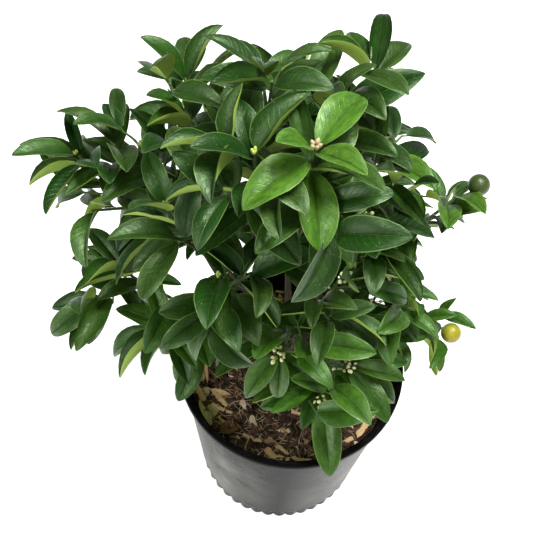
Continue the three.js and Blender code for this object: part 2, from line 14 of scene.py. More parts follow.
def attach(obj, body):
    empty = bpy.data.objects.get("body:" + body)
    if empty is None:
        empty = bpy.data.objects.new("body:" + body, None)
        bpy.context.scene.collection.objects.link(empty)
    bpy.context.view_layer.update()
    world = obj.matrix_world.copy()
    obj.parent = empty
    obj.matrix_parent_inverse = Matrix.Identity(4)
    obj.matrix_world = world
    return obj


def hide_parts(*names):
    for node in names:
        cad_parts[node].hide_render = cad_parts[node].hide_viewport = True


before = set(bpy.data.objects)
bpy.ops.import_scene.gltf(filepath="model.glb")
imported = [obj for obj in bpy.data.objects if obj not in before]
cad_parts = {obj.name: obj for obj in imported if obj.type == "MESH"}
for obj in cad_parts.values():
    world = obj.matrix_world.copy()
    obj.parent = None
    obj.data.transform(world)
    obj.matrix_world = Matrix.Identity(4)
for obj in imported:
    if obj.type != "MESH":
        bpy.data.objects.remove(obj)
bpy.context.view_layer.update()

MM = 0.001
UP = np.array([0.0, 0.0, 1.0])

# ---------------------------------------------------------------- dimensions of the solids, in millimetres
GAP = 0.3
GOLDEN_ANGLE = 137.5
POT = {
    "height": 213, "rim": 115, "foot": 92, "wall": 2.2, "floor": 3, "lip_height": 9, "lip_width": 4.5,
    "foot_height": 15, "lobes": 24, "lobe_depth": 1.8, "room": 5,
}
SOIL = {
    "level": 181, "flat": 24, "bump": 1.8, "fall": 0.03, "shoulder": 10, "waves": (0.19, 0.17, 0.31),
    "third_wave": 0.6, "phases": (1, -2), "slope": 3,
}
TRUNK = {"height": 88, "flare": 13, "radius": 8, "top": 5.4, "lean": (-7, 3), "flare_power": 9}
BOUGH = {"share": 0.52, "rise": 8, "spread": 0.8, "root": 3.3, "tip": 2.5, "steps": 4}
STEM = {
    "root": 1.9, "tip": 1.2, "fork": 1.75, "step": 32, "bare": 1.5, "leaves": 8, "spacing": 6,
    "apart": 0.3,
}
TWIG = {
    "root": 1.5, "tip": 1.1, "first": 0.34, "length": 0.72, "angle": 54, "rise": 0.3, "bare": 1.5,
    "leaves": 5, "spacing": 5, "turns": (0, 55, -55, 110, -110, 165), "open": 1, "room": 0.5,
    "share_play": 0.6, "turn_play": 40, "length_play": (0.8, 0.5),
}
LEAF = {
    "petiole": 9, "width": 0.47, "foot": 1.1, "angle": 44, "angle_step": 7, "bend": (16, 40),
    "fold": (8, 18), "rise": 0.06, "roll": 0.5, "side_twig": 0.93, "clearance": 2.6, "margin": 1.5,
    "limb_margin": 0.5, "pot_clearance": 4, "size": 1, "length": (0.8, 0.34), "angle_play": 16,
    "turn_play": 24, "lean": 0.45, "shape": (0.95, 0.85), "near": 2.0, "own_twig": 0.15, "angle_ranks": 5,
}
GROWTH = {
    "seed": 2740, "seed_step": 77, "turn_step": 101, "twig_turn_step": 50, "leafy": 0.85, "spacing": 0.45,
}
STREAM = {"factor": 1664525, "step": 1013904223, "size": 2**32}
LIMB = {"clearance": 0.8, "spacing": 3, "test": 4, "free": 8, "rise": 0.4, "reach": 0.33, "bow": 0.5}
# Where a leaf is tested: its rows, the first row's place, the shares of its half width, and of its stalk.
TESTED = {"rows": 12, "first": 0.3, "across": (-1, -0.5, 0, 0.5, 1), "inset": 0.97, "stalk": (0.5, 0.8)}
FRUIT = {"radius": 10.5, "out": 0.8, "bare": 1.5}
BUD = {"radius": 2.4, "count": 3, "out": 0.9, "angle": 50}

# Each bough: its name, the height at which it leaves the trunk, and its masses. Each mass: its name, the
# azimuth, distance and height of its stem's tip, its leaves' length, its side twigs, and what it may bear.
BOUGHS = [
    ("left", 44, [("far_left", 165, 206, 436, 60, 3), ("left_upper", 161, 152, 456, 56, 2)]),
    ("low_left", 14, [("left_low", 181, 160, 356, 58, 3), ("left_low_front", 199, 124, 322, 56, 2)]),
    ("front_left", 62, [("left_middle", 184, 114, 456, 56, 2), ("front_left", 214, 84, 424, 56, 2)]),
    ("top_left", 74, [("top_left", 150, 142, 514, 58, 2), ("crown_left", 200, 52, 536, 58, 2)]),
    ("top", 88.3, [
        ("crown_back", 122, 96, 522, 56, 2), ("crown_young", 248, 21, 548, 62, 1, "buds young"),
    ]),
    ("top_right", 72, [("crown_right", 76, 70, 532, 62, 2), ("right_upper", 42, 68, 474, 54, 2)]),
    ("right", 48, [("right_fruit", 30, 158, 413, 38, 2, "fruit"), ("right_middle", 8, 42, 446, 52, 2)]),
    ("low_right", 18, [
        ("right_low_fruit", 5, 142, 280, 40, 2, "fruit"), ("right_low", 9, 72, 338, 54, 2, "buds"),
    ]),
    ("front", 54, [
        ("front_upper", 318, 36, 400, 54, 2, "buds"), ("front_middle", 256, 64, 336, 56, 2, "buds"),
    ]),
    ("low_front", 26, [
        ("front_right", 310, 72, 312, 56, 2, "buds"), ("front_low", 292, 76, 268, 62, 1, "buds"),
    ]),
    ("back_left", 26, [("back_left", 137, 160, 408, 56, 3), ("back_left_low", 143, 136, 324, 56, 2)]),
    ("back", 46, [("back_upper", 102, 142, 440, 56, 3), ("back_low", 98, 130, 326, 56, 2)]),
    ("back_right", 32, [("back_right", 70, 130, 404, 56, 2), ("back_right_low", 52, 112, 328, 56, 2)]),
]
MASS_KEYS = ("name", "azimuth", "out", "height", "leaf", "twigs", "bears")


# ---------------------------------------------------------------- the rule of growth
def stream(seed):
    """A seeded stream of numbers from 0 to 1."""
    while True:
        seed = (seed * STREAM["factor"] + STREAM["step"]) % STREAM["size"]
        yield seed / STREAM["size"]


def draws(random, count):
    return [next(random) for _ in range(count)]


def spread(pair, share):
    """The low end of a range, raised by a share of its width."""
    return pair[0] + pair[1] * share


def unit(v):
    return v / np.linalg.norm(v)


def square_to(v, axis):
    return unit(v - axis * np.dot(v, axis))


def steps_of(line):
    return np.linalg.norm(np.diff(line, axis=0), axis=1)


def along(line, share):
    """The point at a share of a line's length, and the direction there."""
    steps = steps_of(line)
    left = share * steps.sum()
    i = 0
    while i < len(steps) - 1 and left > steps[i]:
        left -= steps[i]
        i += 1
    direction = (line[i + 1] - line[i]) / steps[i]
    return line[i] + direction * left, direction


def branching(direction, turn, angle):
    side = square_to(np.array([0.3, 0.9, 0.2]), direction)
    other = np.cross(direction, side)
    turn, angle = math.radians(turn), math.radians(angle)
    out = side * math.cos(turn) + other * math.sin(turn)
    return direction * math.cos(angle) + out * math.sin(angle)


class Leaf:
    """A leaf's frame and sizes. It bends down on an arc and is folded up along its midrib."""

    def __init__(self, root, ahead, upwards, length, bend, fold, clearance, margin):
        self.root, self.ahead, self.top = root, ahead, square_to(upwards, ahead)
        self.side = np.cross(ahead, self.top)
        self.length, self.fold, self.half_width = length, fold, length * LEAF["width"] / 2
        self.reach = LEAF["petiole"] + length
        self.arc = self.reach / bend
        self.clearance, self.margin = clearance, margin
        self.owner, self.tone, self.canoe = None, None, None

    def half_width_at(self, distance):
        share = np.clip((distance - LEAF["petiole"]) / self.length, 0, 1)
        run, swell = LEAF["shape"]
        return np.maximum(LEAF["foot"], self.half_width * np.sin(math.pi * share**run) ** swell)

    def point(self, distance, across, lift=0.0):
        """Points at distances along the leaf and across it, raised above its middle surface by lift."""
        angle = np.asarray(distance / self.arc)[..., None]
        raised = np.asarray(self.arc + lift + np.abs(across) * math.sin(self.fold))[..., None]
        sideways = np.asarray(across * math.cos(self.fold))[..., None]
        forward = self.ahead * (raised * np.sin(angle))
        return self.root + forward + self.top * (raised * np.cos(angle) - self.arc) + self.side * sideways

    def test_points(self):
        rows, across = TESTED["rows"], TESTED["across"]
        shares = (np.arange(rows) + TESTED["first"]) / (rows - 1 + TESTED["first"])
        distance = np.repeat(LEAF["petiole"] + self.length * shares, len(across))
        across = np.tile(across, rows) * TESTED["inset"] * self.half_width_at(distance)
        stalk = LEAF["petiole"] * np.array(TESTED["stalk"])
        return self.point(np.concatenate([stalk, distance]), np.concatenate([0 * stalk, across]))

    def holds(self, points, start=LEAF["near"], extra=0.0):
        """Which points are in the space that the leaf keeps round itself."""
        away = points - self.root
        x, y = away @ self.ahead, np.abs(away @ self.side)
        z = away @ self.top + self.arc
        distance = np.arctan2(x, z) * self.arc
        inside = (distance >= start) & (distance <= self.reach + self.margin + extra)
        half_width = self.half_width_at(distance)
        inside &= y <= half_width * math.cos(self.fold) + self.margin + extra
        above = np.hypot(x, z) - self.arc
        slope = math.tan(self.fold)
        inside &= above > y * slope - self.clearance - extra
        return inside & (above < half_width * slope + self.clearance + extra)


class Space:
    """What is already in the way: the straight parts of limbs, and leaves."""

    def __init__(self):
        self.a, self.b, self.radius, self.owner = [], [], [], []
        self.points, self.part_of = np.zeros((0, 3)), np.zeros(0, int)
        self.clear_leaves()

    def clear_leaves(self):
        self.leaves, self.leaf_points, self.leaf_of = [], np.zeros((0, 3)), np.zeros(0, int)

    def add_limb(self, line, radii, owner):
        for i in range(1, len(line)):
            a, b = line[i - 1], line[i]
            count = math.ceil(np.linalg.norm(b - a) / LIMB["spacing"])
            shares = np.arange(count + 1)[:, None] / count
            self.points = np.concatenate([self.points, a + (b - a) * shares])
            self.part_of = np.concatenate([self.part_of, np.full(count + 1, len(self.a))])
            for kept, value in ((self.a, a), (self.b, b), (self.radius, radii[i - 1]), (self.owner, owner)):
                kept.append(value)

    def gaps(self, points):
        """The gap from each point to each part of a limb."""
        a, run = np.array(self.a), np.array(self.b) - np.array(self.a)
        away = points[:, None] - a
        share = np.clip((away * run).sum(2) / (run * run).sum(1), 0, 1)
        return np.linalg.norm(away - run * share[..., None], axis=2) - np.array(self.radius)

    def line_is_clear(self, line, radius, parents):
        total = steps_of(line).sum()
        count = math.ceil(total / LIMB["test"])
        shares = np.arange(1, count + 1) / count
        points = np.array([along(line, s)[0] for s in shares])
        if in_pot(points, radius).any():
            return False
        gaps = self.gaps(points)
        is_parent = np.isin(self.owner, parents)
        in_parent = (gaps[:, is_parent] < 0).any(1)
        blocked = gaps < radius + LIMB["clearance"]
        blocked[np.ix_(total * shares < LIMB["free"] * radius, is_parent)] = False
        return not blocked[~in_parent].any()

    def leaf_is_clear(self, leaf, owner):
        points = leaf.test_points()
        middle = leaf.point(np.array(leaf.reach / 2), np.array(0.0))
        if in_pot(points, LEAF["pot_clearance"]).any():
            return False
        near = (self.gaps(middle[None])[0] <= leaf.reach)[self.part_of]
        part = self.part_of[near]
        is_own = (np.array(self.owner) == owner)[part]
        start = np.where(is_own, LEAF["petiole"] + LEAF["own_twig"] * leaf.length, LEAF["near"])
        extra = np.array(self.radius)[part] + LEAF["limb_margin"] - LEAF["margin"]
        if leaf.holds(self.points[near], start, extra).any():
            return False
        if not self.leaves:
            return True
        roots = np.array([o.root for o in self.leaves])
        reaches = np.array([o.reach for o in self.leaves])
        close = np.linalg.norm(roots - middle, axis=1) < reaches + leaf.reach
        if leaf.holds(self.leaf_points[close[self.leaf_of]]).any():
            return False
        return not any(self.leaves[i].holds(points).any() for i in np.flatnonzero(close))

    def add_leaf(self, leaf):
        points = leaf.test_points()
        self.leaf_points = np.concatenate([self.leaf_points, points])
        self.leaf_of = np.concatenate([self.leaf_of, np.full(len(points), len(self.leaves))])
        self.leaves.append(leaf)


def wall_radius(z):
    top = POT["rim"] - POT["lip_width"]
    return POT["foot"] + (top - POT["foot"]) * z / (POT["height"] - POT["lip_height"])


def inner_radius(z):
    top = POT["rim"] - POT["lip_width"] - POT["wall"]
    low = wall_radius(POT["floor"]) - POT["wall"] - 2 * POT["lobe_depth"]
    return low + (top - low) * (z - POT["floor"]) / (POT["height"] - POT["floor"])


def in_pot(points, margin):
    radius, z = np.hypot(points[:, 0], points[:, 1]), points[:, 2]
    outside = (z > POT["height"] + margin) | (radius > POT["rim"] + margin)
    by_wall = radius > inner_radius(SOIL["level"]) - POT["room"] - margin
    return ~outside & (by_wall | (z < SOIL["level"] + 2 * SOIL["bump"] + margin))


def soil_height(x, y):
    outer = np.maximum(0, np.hypot(x, y) - SOIL["flat"]) / (POT["rim"] - SOIL["flat"])
    (first, second, third), (ahead, aside) = SOIL["waves"], SOIL["phases"]
    bumps = np.sin(x * first + ahead) * np.cos(y * second + aside)
    bumps = bumps + SOIL["third_wave"] * np.sin((x + y) * third)
    return SOIL["level"] + np.minimum(1, outer * SOIL["slope"]) * (SOIL["bump"] * bumps - SOIL["fall"] * x)


trunk_foot = np.array([0, 0, SOIL["level"] + GAP])
trunk_top = trunk_foot + np.array([*TRUNK["lean"], TRUNK["height"]])


def trunk_rings(shares):
    flare = TRUNK["flare"] - TRUNK["radius"]
    line = trunk_foot + (trunk_top - trunk_foot) * shares[:, None]
    flare = flare * (1 - shares) ** TRUNK["flare_power"]
    return line, TRUNK["radius"] + (TRUNK["top"] - TRUNK["radius"]) * shares + flare


def bezier(knots, steps):
    t = np.linspace(0, 1, steps + 1)[:, None]
    a, b, c, d = knots
    return a * (1 - t) ** 3 + 3 * b * t * (1 - t) ** 2 + 3 * c * t * t * (1 - t) + d * t**3


BOWS = [(a, u) for a in (0, 8, -8, 16, -16, 24, -24, 32, -32) for u in (0, 8, -8, 16, 24)]


def grow_limb(space, name, kind, start, first, tip, steps, parents):
    """A limb on a smooth curve that leaves start in the direction first and is clear of other limbs."""
    straight, reach = unit(tip - start), np.linalg.norm(tip - start)
    last = unit(straight + LIMB["rise"] * UP)
    across = square_to(np.array([-straight[1], straight[0], 0.01]), straight)
    above = -np.cross(across, straight)
    for bow_across, bow_up in BOWS:
        bow = across * bow_across + above * bow_up
        low = start + first * reach * LIMB["reach"] + LIMB["bow"] * bow
        knots = (start, low, tip - last * reach * LIMB["reach"] + bow, tip)
        line = bezier(knots, steps)
        if space.line_is_clear(line, kind["root"], parents):
            space.add_limb(line, np.linspace(kind["root"], kind["tip"], len(line)), name)
            return {"name": name, "knots": knots, "line": line}
    raise ValueError("no clear way for " + name)


def tip_of(mass):
    turn = math.radians(mass["azimuth"])
    return np.array([mass["out"] * math.cos(turn), mass["out"] * math.sin(turn), mass["height"]])


def grow_bough(space, name, height, masses):
    start = trunk_foot + (trunk_top - trunk_foot) * (height / TRUNK["height"])
    target = sum(tip_of(m) for m in masses) / len(masses)
    tip = start + (target - start) * BOUGH["share"] + UP * BOUGH["rise"]
    straight = unit(target - start)
    aside = BOUGH["spread"] if height < TRUNK["height"] else 0
    first = unit(unit(straight * [1, 1, 0]) * aside + straight)
    return grow_limb(space, name, BOUGH, start, first, tip, BOUGH["steps"], ["trunk"])


def grow_stem(space, mass, index, bough, masses):
    direction = along(bough["line"], 1)[1]
    tip = tip_of(mass)
    apart = square_to(tip_of(masses[1]) - tip_of(masses[0]), direction) * (-1 if index == 0 else 1)
    start = bough["line"][-1] + direction * GAP + apart * STEM["fork"]
    first = unit((direction + unit(tip - start)) * 0.5 + apart * STEM["apart"])
    steps = max(3, math.floor(np.linalg.norm(tip - start) / STEM["step"] + 0.5))
    parents = [bough["name"]] + [m["name"] for m in masses]
    mass.update(grow_limb(space, mass["name"], STEM, start, first, tip, steps, parents))
    mass.update(direction=direction, fork=bough["line"][-1])


def grow_tip(space, mass):
    """Keeps the room of the fruit or the buds at the stem's tip."""
    point, direction = along(mass["line"], 1)
    centres, radius = [], BUD["radius"]
    if "fruit" in mass["bears"]:
        centres, radius = [point + direction * FRUIT["out"] * FRUIT["radius"]], FRUIT["radius"]
    elif "buds" in mass["bears"]:
        ways = [branching(direction, 360 * k / BUD["count"], BUD["angle"]) for k in range(BUD["count"])]
        centres = [point + way * BUD["out"] * BUD["radius"] for way in ways]
    for centre in centres:
        space.add_limb(np.array([centre, centre + UP * 0.1]), [radius, radius], mass["name"] + " tip")


def grow_twig(space, name, kind, host, share, turn, length, parents):
    """A straight twig on the first way off its host that is clear, if there is one."""
    point, direction = along(host["line"], share)
    for more in kind["turns"]:
        way = unit(branching(direction, turn + more, kind["angle"]) + UP * kind["rise"])
        line = np.array([point, point + way * length])
        if space.line_is_clear(line, kind["root"], parents) and not is_open(line, kind["open"]):
            space.add_limb(line, [kind["root"], kind["tip"]], name)
            return [{"line": line, "name": name, "radii": (kind["root"], kind["tip"])}]
    return []


def grow_side_twigs(space, mass):
    for k in range(mass["twigs"]):
        draw = draws(mass["random"], 3)
        share = TWIG["first"] + TWIG["room"] * (k + TWIG["share_play"] * draw[0]) / mass["twigs"]
        turn = mass["phase"] + k * GOLDEN_ANGLE + TWIG["turn_play"] * draw[1]
        length = TWIG["length"] * mass["leaf"] * spread(TWIG["length_play"], draw[2])
        name = f"{mass['name']} {k}"
        mass["side_twigs"] += grow_twig(space, name, TWIG, mass, share, turn, length, [mass["name"]])


def leaf_places(limb, kind, phase, size, bare=None):
    """The leaves' places on a stem or twig, counted from its tip."""
    total, places = steps_of(limb["line"]).sum(), []
    back = kind["bare"] if bare is None else bare
    for rank in range(kind["leaves"]):
        if back >= GROWTH["leafy"] * total:
            break
        point, way = along(limb["line"], 1 - back / total)
        place = {"point": point, "way": way, "owner": limb["name"], "rank": rank, "size": size}
        places.append({**place, "turn": phase + rank * GOLDEN_ANGLE})
        back += kind["spacing"] * (1 + GROWTH["spacing"] * rank)
    return places


LEAF_TRIES = [
    (0, 0), (16, 0), (-16, 0), (0, 12), (0, -14), (30, 6), (-30, 6), (46, 0), (-46, 0), (20, 24),
    (-20, 24), (64, 10), (-64, 10), (80, -10), (-80, -10),
]


def grow_leaf(space, mass, place, style, allowed):
    draw = draws(mass["random"], 6)
    angle = style["angle"] + min(place["rank"], style["angle_ranks"]) * style["angle_step"]
    angle += style["angle_play"] * (draw[0] - 0.5)
    length = place["size"] * style["size"] * spread(style["length"], draw[1])
    bend, fold = math.radians(spread(style["bend"], draw[2])), math.radians(spread(style["fold"], draw[3]))
    roll = style["roll"] * (draw[4] - 0.5)
    turn = place["turn"] + style["turn_play"] * (draw[5] - 0.5)
    for more_turn, more_angle in LEAF_TRIES:
        ahead = unit(branching(place["way"], turn + more_turn, angle + more_angle) + UP * style["rise"])
        upwards = UP + place["way"] * style["lean"] + np.cross(ahead, UP) * roll
        leaf = Leaf(place["point"], ahead, upwards, length, bend, fold, style["clearance"], style["margin"])
        if allowed(space, mass, leaf) and space.leaf_is_clear(leaf, place["owner"]):
            space.add_leaf(leaf)
            leaf.owner = place["owner"]
            mass["leaves"].append(leaf)
            return


def grow_leaves(space, masses, places, style, allowed=lambda space, mass, leaf: True):
    """The leaves at the masses' places, those nearest to the tips first."""
    for rank in range(STEM["leaves"]):
        for mass in masses:
            for place in [p for p in mass[places] if p["rank"] == rank]:
                grow_leaf(space, mass, place, style, allowed)


def grow_bush():
    """The limbs and leaves of the solids."""
    space = Space()
    line, radii = trunk_rings(np.array([0, 0.07, 0.2, 0.45, 0.75, 1]))
    space.add_limb(line, radii, "trunk")
    tables = [[{"bears": "", **dict(zip(MASS_KEYS, row))} for row in rows] for _, _, rows in BOUGHS]
    boughs = [grow_bough(space, name, height, rows) for (name, height, _), rows in zip(BOUGHS, tables)]
    for bough, rows in zip(boughs, tables):
        for index, mass in enumerate(rows):
            grow_stem(space, mass, index, bough, rows)
    masses = [mass for rows in tables for mass in rows]
    for i, mass in enumerate(masses):
        mass.update(random=stream(GROWTH["seed"] + GROWTH["seed_step"] * i), phase=GROWTH["turn_step"] * i)
        mass.update(leaves=[], side_twigs=[])
        grow_tip(space, mass)
        grow_side_twigs(space, mass)
    for mass in masses:
        bare = FRUIT["bare"] * FRUIT["radius"] if "fruit" in mass["bears"] else STEM["bare"]
        mass["places"] = leaf_places(mass, STEM, mass["phase"], mass["leaf"], bare)
        for k, twig in enumerate(mass["side_twigs"]):
            phase = mass["phase"] + GROWTH["twig_turn_step"] * k
            mass["places"] += leaf_places(twig, TWIG, phase, LEAF["side_twig"] * mass["leaf"])
    grow_leaves(space, masses, "places", LEAF)
    return space, boughs, masses


# ---------------------------------------------------------------- the view
# The camera's place in millimetres, its angles in degrees, its lens and sensor, and the photo's side in
# pixels.
VIEW = {
    "place": (-33.6, -415.3, 979.5), "tilt": 34.484, "roll": 5.139, "lens": 57.42, "sensor": 36.0,
    "side": 533,
}
EYE = np.array(VIEW["place"])
PIXELS_A_SLOPE = VIEW["side"] * VIEW["lens"] / VIEW["sensor"]


def view_axes():
    """The camera's directions: to the right and upwards in the picture, and back from it."""
    tilt, roll = math.radians(VIEW["tilt"]), math.radians(VIEW["roll"])
    level_up = np.array([0, math.cos(tilt), math.sin(tilt)])
    right = np.array([math.cos(roll), 0, 0]) + level_up * math.sin(roll)
    back = np.array([0, -math.sin(tilt), math.cos(tilt)])
    return right, np.cross(back, right), back


RIGHTWARDS, UPWARDS, BACK = view_axes()


def seen_at(points):
    """The pixels at which points are seen."""
    away = points - EYE
    slopes = np.stack([away @ RIGHTWARDS, -(away @ UPWARDS)], -1) / -(away @ BACK)[:, None]
    return VIEW["side"] / 2 + PIXELS_A_SLOPE * slopes


def way_to_pixel(root, pixel, reach, near):
    """The direction from a root to the point that is seen at a pixel, at a reach from the root or nearly."""
    x, y = pixel[0] - VIEW["side"] / 2, VIEW["side"] / 2 - pixel[1]
    sight = unit(RIGHTWARDS * x + UPWARDS * y - BACK * PIXELS_A_SLOPE)
    away = root - EYE
    middle = away @ sight
    half = math.sqrt(max(reach**2 - away @ away + middle**2, 0))
    return unit(EYE + sight * (middle - half if near else middle + half) - root)


# ---------------------------------------------------------------- finer growth
OPEN_LEAF = {
    **LEAF, "rise": 0.3, "roll": 1.5, "angle": 40, "angle_step": 6, "bend": (14, 36), "clearance": 3.8,
    "margin": 2.3, "size": 0.9, "seed": 514, "seed_step": 53,
}
FINE = {
    "root": 0.95, "tip": 0.7, "length": (0.3, 0.3), "leaves": 3, "spacing": 4.5, "size": (0.62, 0.3),
    "tries": 6, "angle": 58, "rise": 0.35, "bare": 1.2, "turns": (0, 70, -70, 140), "open": 0.4,
    "seed": 90000, "seed_step": 131, "turn_step": 80, "shares": (0.25, 0.65),
}
FINE_LEAF = {**OPEN_LEAF, "clearance": 2.0, "margin": 1.0, "size": 1}
# Twigs that carry the crown's outline on: the mass, the share of its stem, the pixel at which the twig's
# tip is seen in the photo, and its length.
SHOOTS = {
    "left_node": ("left_upper", 0.98, (120, 130), 30), "top_left_node": ("top_left", 0.97, (187, 84), 22),
    "top_node": ("crown_right", 0.98, (374, 76), 28), "right_node": ("right_upper", 0.97, (402, 136), 30),
    "low_node": ("left_low", 0.97, (113, 303), 34),
    "fruit_node": ("right_low_fruit", 0.75, (440, 313), 22),
}
SHOOT = {"root": 1.25, "tip": 0.85}
# The leaves that make the outline, by the stem or shoot that bears them: the share of its length, the pixel
# at which the leaf's tip is seen in the photo, how far off that tip is, whether it comes towards the eye,
# and the leaf's tone, from 0 for dark to 3 for young. A leaf that is rolled away from the eye has its roll
# in degrees, which shows some of its underside.
LEADERS = {
    "far_left": [
        (1.0, (12, 153), 58, True, 1), (0.97, (65, 109), 46, False, 0, -40),
        (0.95, (43, 213), 56, True, 0, 12), (0.93, (27, 183), 52, False, 1, 26),
        (0.7, (70, 185), 46, True, 1), (0.65, (82, 228), 46, True, 0, 46),
    ],
    "left_node": [
        (1.0, (116, 86), 46, False, 0), (0.9, (73, 121), 50, True, 1), (0.8, (102, 102), 38, False, 0),
    ],
    "top_left_node": [
        (1.0, (142, 35), 54, True, 1), (1.0, (222, 22), 58, False, 0, 24), (0.9, (203, 42), 44, False, 1),
        (0.8, (136, 68), 48, False, 1), (0.9, (187, 34), 50, False, 0),
    ],
    "top_left": [
        (0.75, (148, 93), 50, True, 1), (0.72, (200, 68), 54, False, 0),
        (0.7, (147, 122), 52, True, 1, 20),
    ],
    "crown_back": [(0.98, (228, 38), 48, False, 0), (0.96, (302, 52), 44, False, 1)],
    "top_node": [
        (1.0, (383, 10), 62, False, 0, 14), (1.0, (411, 40), 52, False, 0),
        (0.9, (321, 39), 54, True, 1, 22), (0.3, (409, 92), 56, True, 0), (0.9, (409, 80), 38, False, 0),
        (0.7, (350, 29), 48, False, 1),
    ],
    "right_node": [(1.0, (438, 142), 44, False, 0), (0.6, (388, 103), 44, False, 0)],
    "right_upper": [(0.98, (438, 187), 56, True, 3)],
    "right_middle": [(1.0, (438, 235), 66, False, 0)],
    "right_fruit": [
        (0.8, (450, 227), 50, True, 3), (0.88, (485, 212), 48, True, 3), (0.85, (472, 182), 36, False, 1),
    ],
    "low_node": [
        (1.0, (50, 307), 58, False, 0), (1.0, (68, 350), 56, True, 0, 22), (0.9, (85, 345), 46, True, 0),
    ],
    "left_low": [
        (1.0, (88, 226), 50, False, 0), (0.95, (70, 257), 52, False, 0), (0.9, (74, 291), 54, True, 1, 20),
        (0.85, (87, 245), 52, True, 1),
    ],
    "left_low_front": [
        (1.0, (117, 376), 60, True, 0, 36), (0.95, (197, 368), 48, True, 1),
        (0.9, (190, 384), 52, True, 0), (0.9, (113, 305), 54, False, 2), (1.0, (148, 273), 50, False, 2),
    ],
    "front_middle": [(1.0, (278, 400), 50, False, 2), (0.95, (243, 399), 56, False, 2)],
    "front_low": [
        (1.0, (329, 479), 70, False, 2), (0.6, (303, 430), 46, True, 1), (0.3, (361, 425), 58, True, 1),
    ],
    "front_right": [
        (1.0, (409, 381), 52, True, 1), (0.95, (394, 427), 62, False, 1), (0.9, (409, 361), 58, False, 1),
    ],
    "right_low": [(1.0, (432, 292), 50, True, 1), (0.95, (422, 346), 56, True, 0)],
    "right_low_fruit": [(0.92, (436, 379), 46, False, 2, 110)],
    "fruit_node": [(1.0, (477, 328), 40, True, 2), (0.95, (456, 298), 28, True, 2)],
    "crown_young": [
        (0.99, (363, 93), 62, False, 3), (0.98, (277, 138), 42, True, 3), (0.97, (368, 172), 50, True, 3),
        (0.84, (322, 251), 62, True, 3), (0.92, (241, 208), 64, True, 3),
    ],
}
LEADER_SHAPE = {
    "bend": (8, 20), "fold": (12, 16), "rolled_fold": 34, "room": 0.6, "margin": 0.2, "seed": 61,
}
# Where the photo shows sky, bare soil or fruit, in its pixels: the middle and radius of each round opening.
OPENINGS = {
    "inside_left": [
        (162, 265, 10), (184, 268, 15), (196, 281, 13), (182, 300, 11), (185, 240, 7), (215, 246, 6),
        (228, 258, 6),
    ],
    "under_top_left": [(136, 80, 14), (124, 58, 10), (140, 98, 10), (151, 107, 9), (137, 128, 8)],
    "far_left": [
        (65, 97, 9), (83, 100, 6), (62, 222, 13), (120, 209, 10), (106, 220, 7), (35, 197, 12),
        (86, 201, 6),
    ],
    "low_left": [
        (60, 284, 10), (99, 338, 14), (113, 334, 7), (128, 327, 8), (158, 364, 14), (122, 287, 7),
        (105, 382, 9),
    ],
    "top": [
        (222, 49, 8), (192, 24, 8), (267, 38, 12), (292, 38, 10), (165, 23, 9), (312, 32, 10),
        (242, 28, 8), (362, 57, 8),
    ],
    "top_right": [(418, 60, 9), (405, 106, 11), (425, 122, 9)],
    "right": [
        (446, 166, 12), (432, 207, 8), (472, 228, 9), (455, 245, 18), (428, 258, 12), (442, 276, 12),
        (430, 305, 10), (396, 269, 7),
    ],
    "low_right": [(422, 362, 12), (455, 358, 13)],
    "soil": [
        (285, 437, 20), (300, 420, 14), (348, 446, 15), (372, 430, 12), (255, 430, 18), (310, 452, 12),
        (232, 408, 14), (262, 410, 12),
    ],
    "fruit": [(479, 185, 10), (451, 333, 11), (438, 325, 7)],
}
CIRCLES = np.array([circle for circles in OPENINGS.values() for circle in circles])
OPEN_SHARE = 0.22
REACH_SLACK = 1  # how far a leaf may pass its mass's reach in the solids
# The masses whose buds show at the stem's tip, and how much of a leaf may lie in front, within a few pixels.
BUDS_IN_VIEW = {"masses": ("front_middle", "front_right", "front_low"), "pixels": 9, "share": 0.05}


def is_open(points, share):
    """Whether more than a share of the points is seen in one of the crown's openings."""
    off = np.linalg.norm(seen_at(points)[:, None] - CIRCLES[:, :2], axis=2)
    return (off < CIRCLES[:, 2]).any(1).mean() > share


def hides_buds(points, tips):
    """Whether a leaf's points lie between the eye and the buds that show at the tips of the front stems."""
    near = np.linalg.norm(points - EYE, axis=1)[:, None] < np.linalg.norm(tips - EYE, axis=1)
    off = np.linalg.norm(seen_at(points)[:, None] - seen_at(tips), axis=2)
    return (near & (off < BUDS_IN_VIEW["pixels"])).any(1).mean() > BUDS_IN_VIEW["share"]


def has_room(space, mass, leaf):
    """Whether a leaf stays within its mass's reach and clear of the openings and the buds."""
    points, (low, high) = leaf.test_points(), mass["box"]
    within = (points >= low).all() and (points <= high).all()
    return within and not is_open(points, OPEN_SHARE) and not hides_buds(points, space.bud_tips)


def grow_shoots(space, by_name):
    """The outline's twigs: each shoot's mass and line."""
    shoots = {}
    for name, (host, share, pixel, length) in SHOOTS.items():
        start, direction = along(by_name[host]["line"], share)
        way = way_to_pixel(start, pixel, length, False)
        line = smooth_line([start, start + (direction + way) * length / 4, start + way * length], 4)
        space.add_limb(line, np.linspace(SHOOT["root"], SHOOT["tip"], len(line)), name)
        by_name[host]["shoots"].append({"line": line, "name": name, "radii": (SHOOT["root"], SHOOT["tip"])})
        shoots[name] = (by_name[host], line)
    return shoots


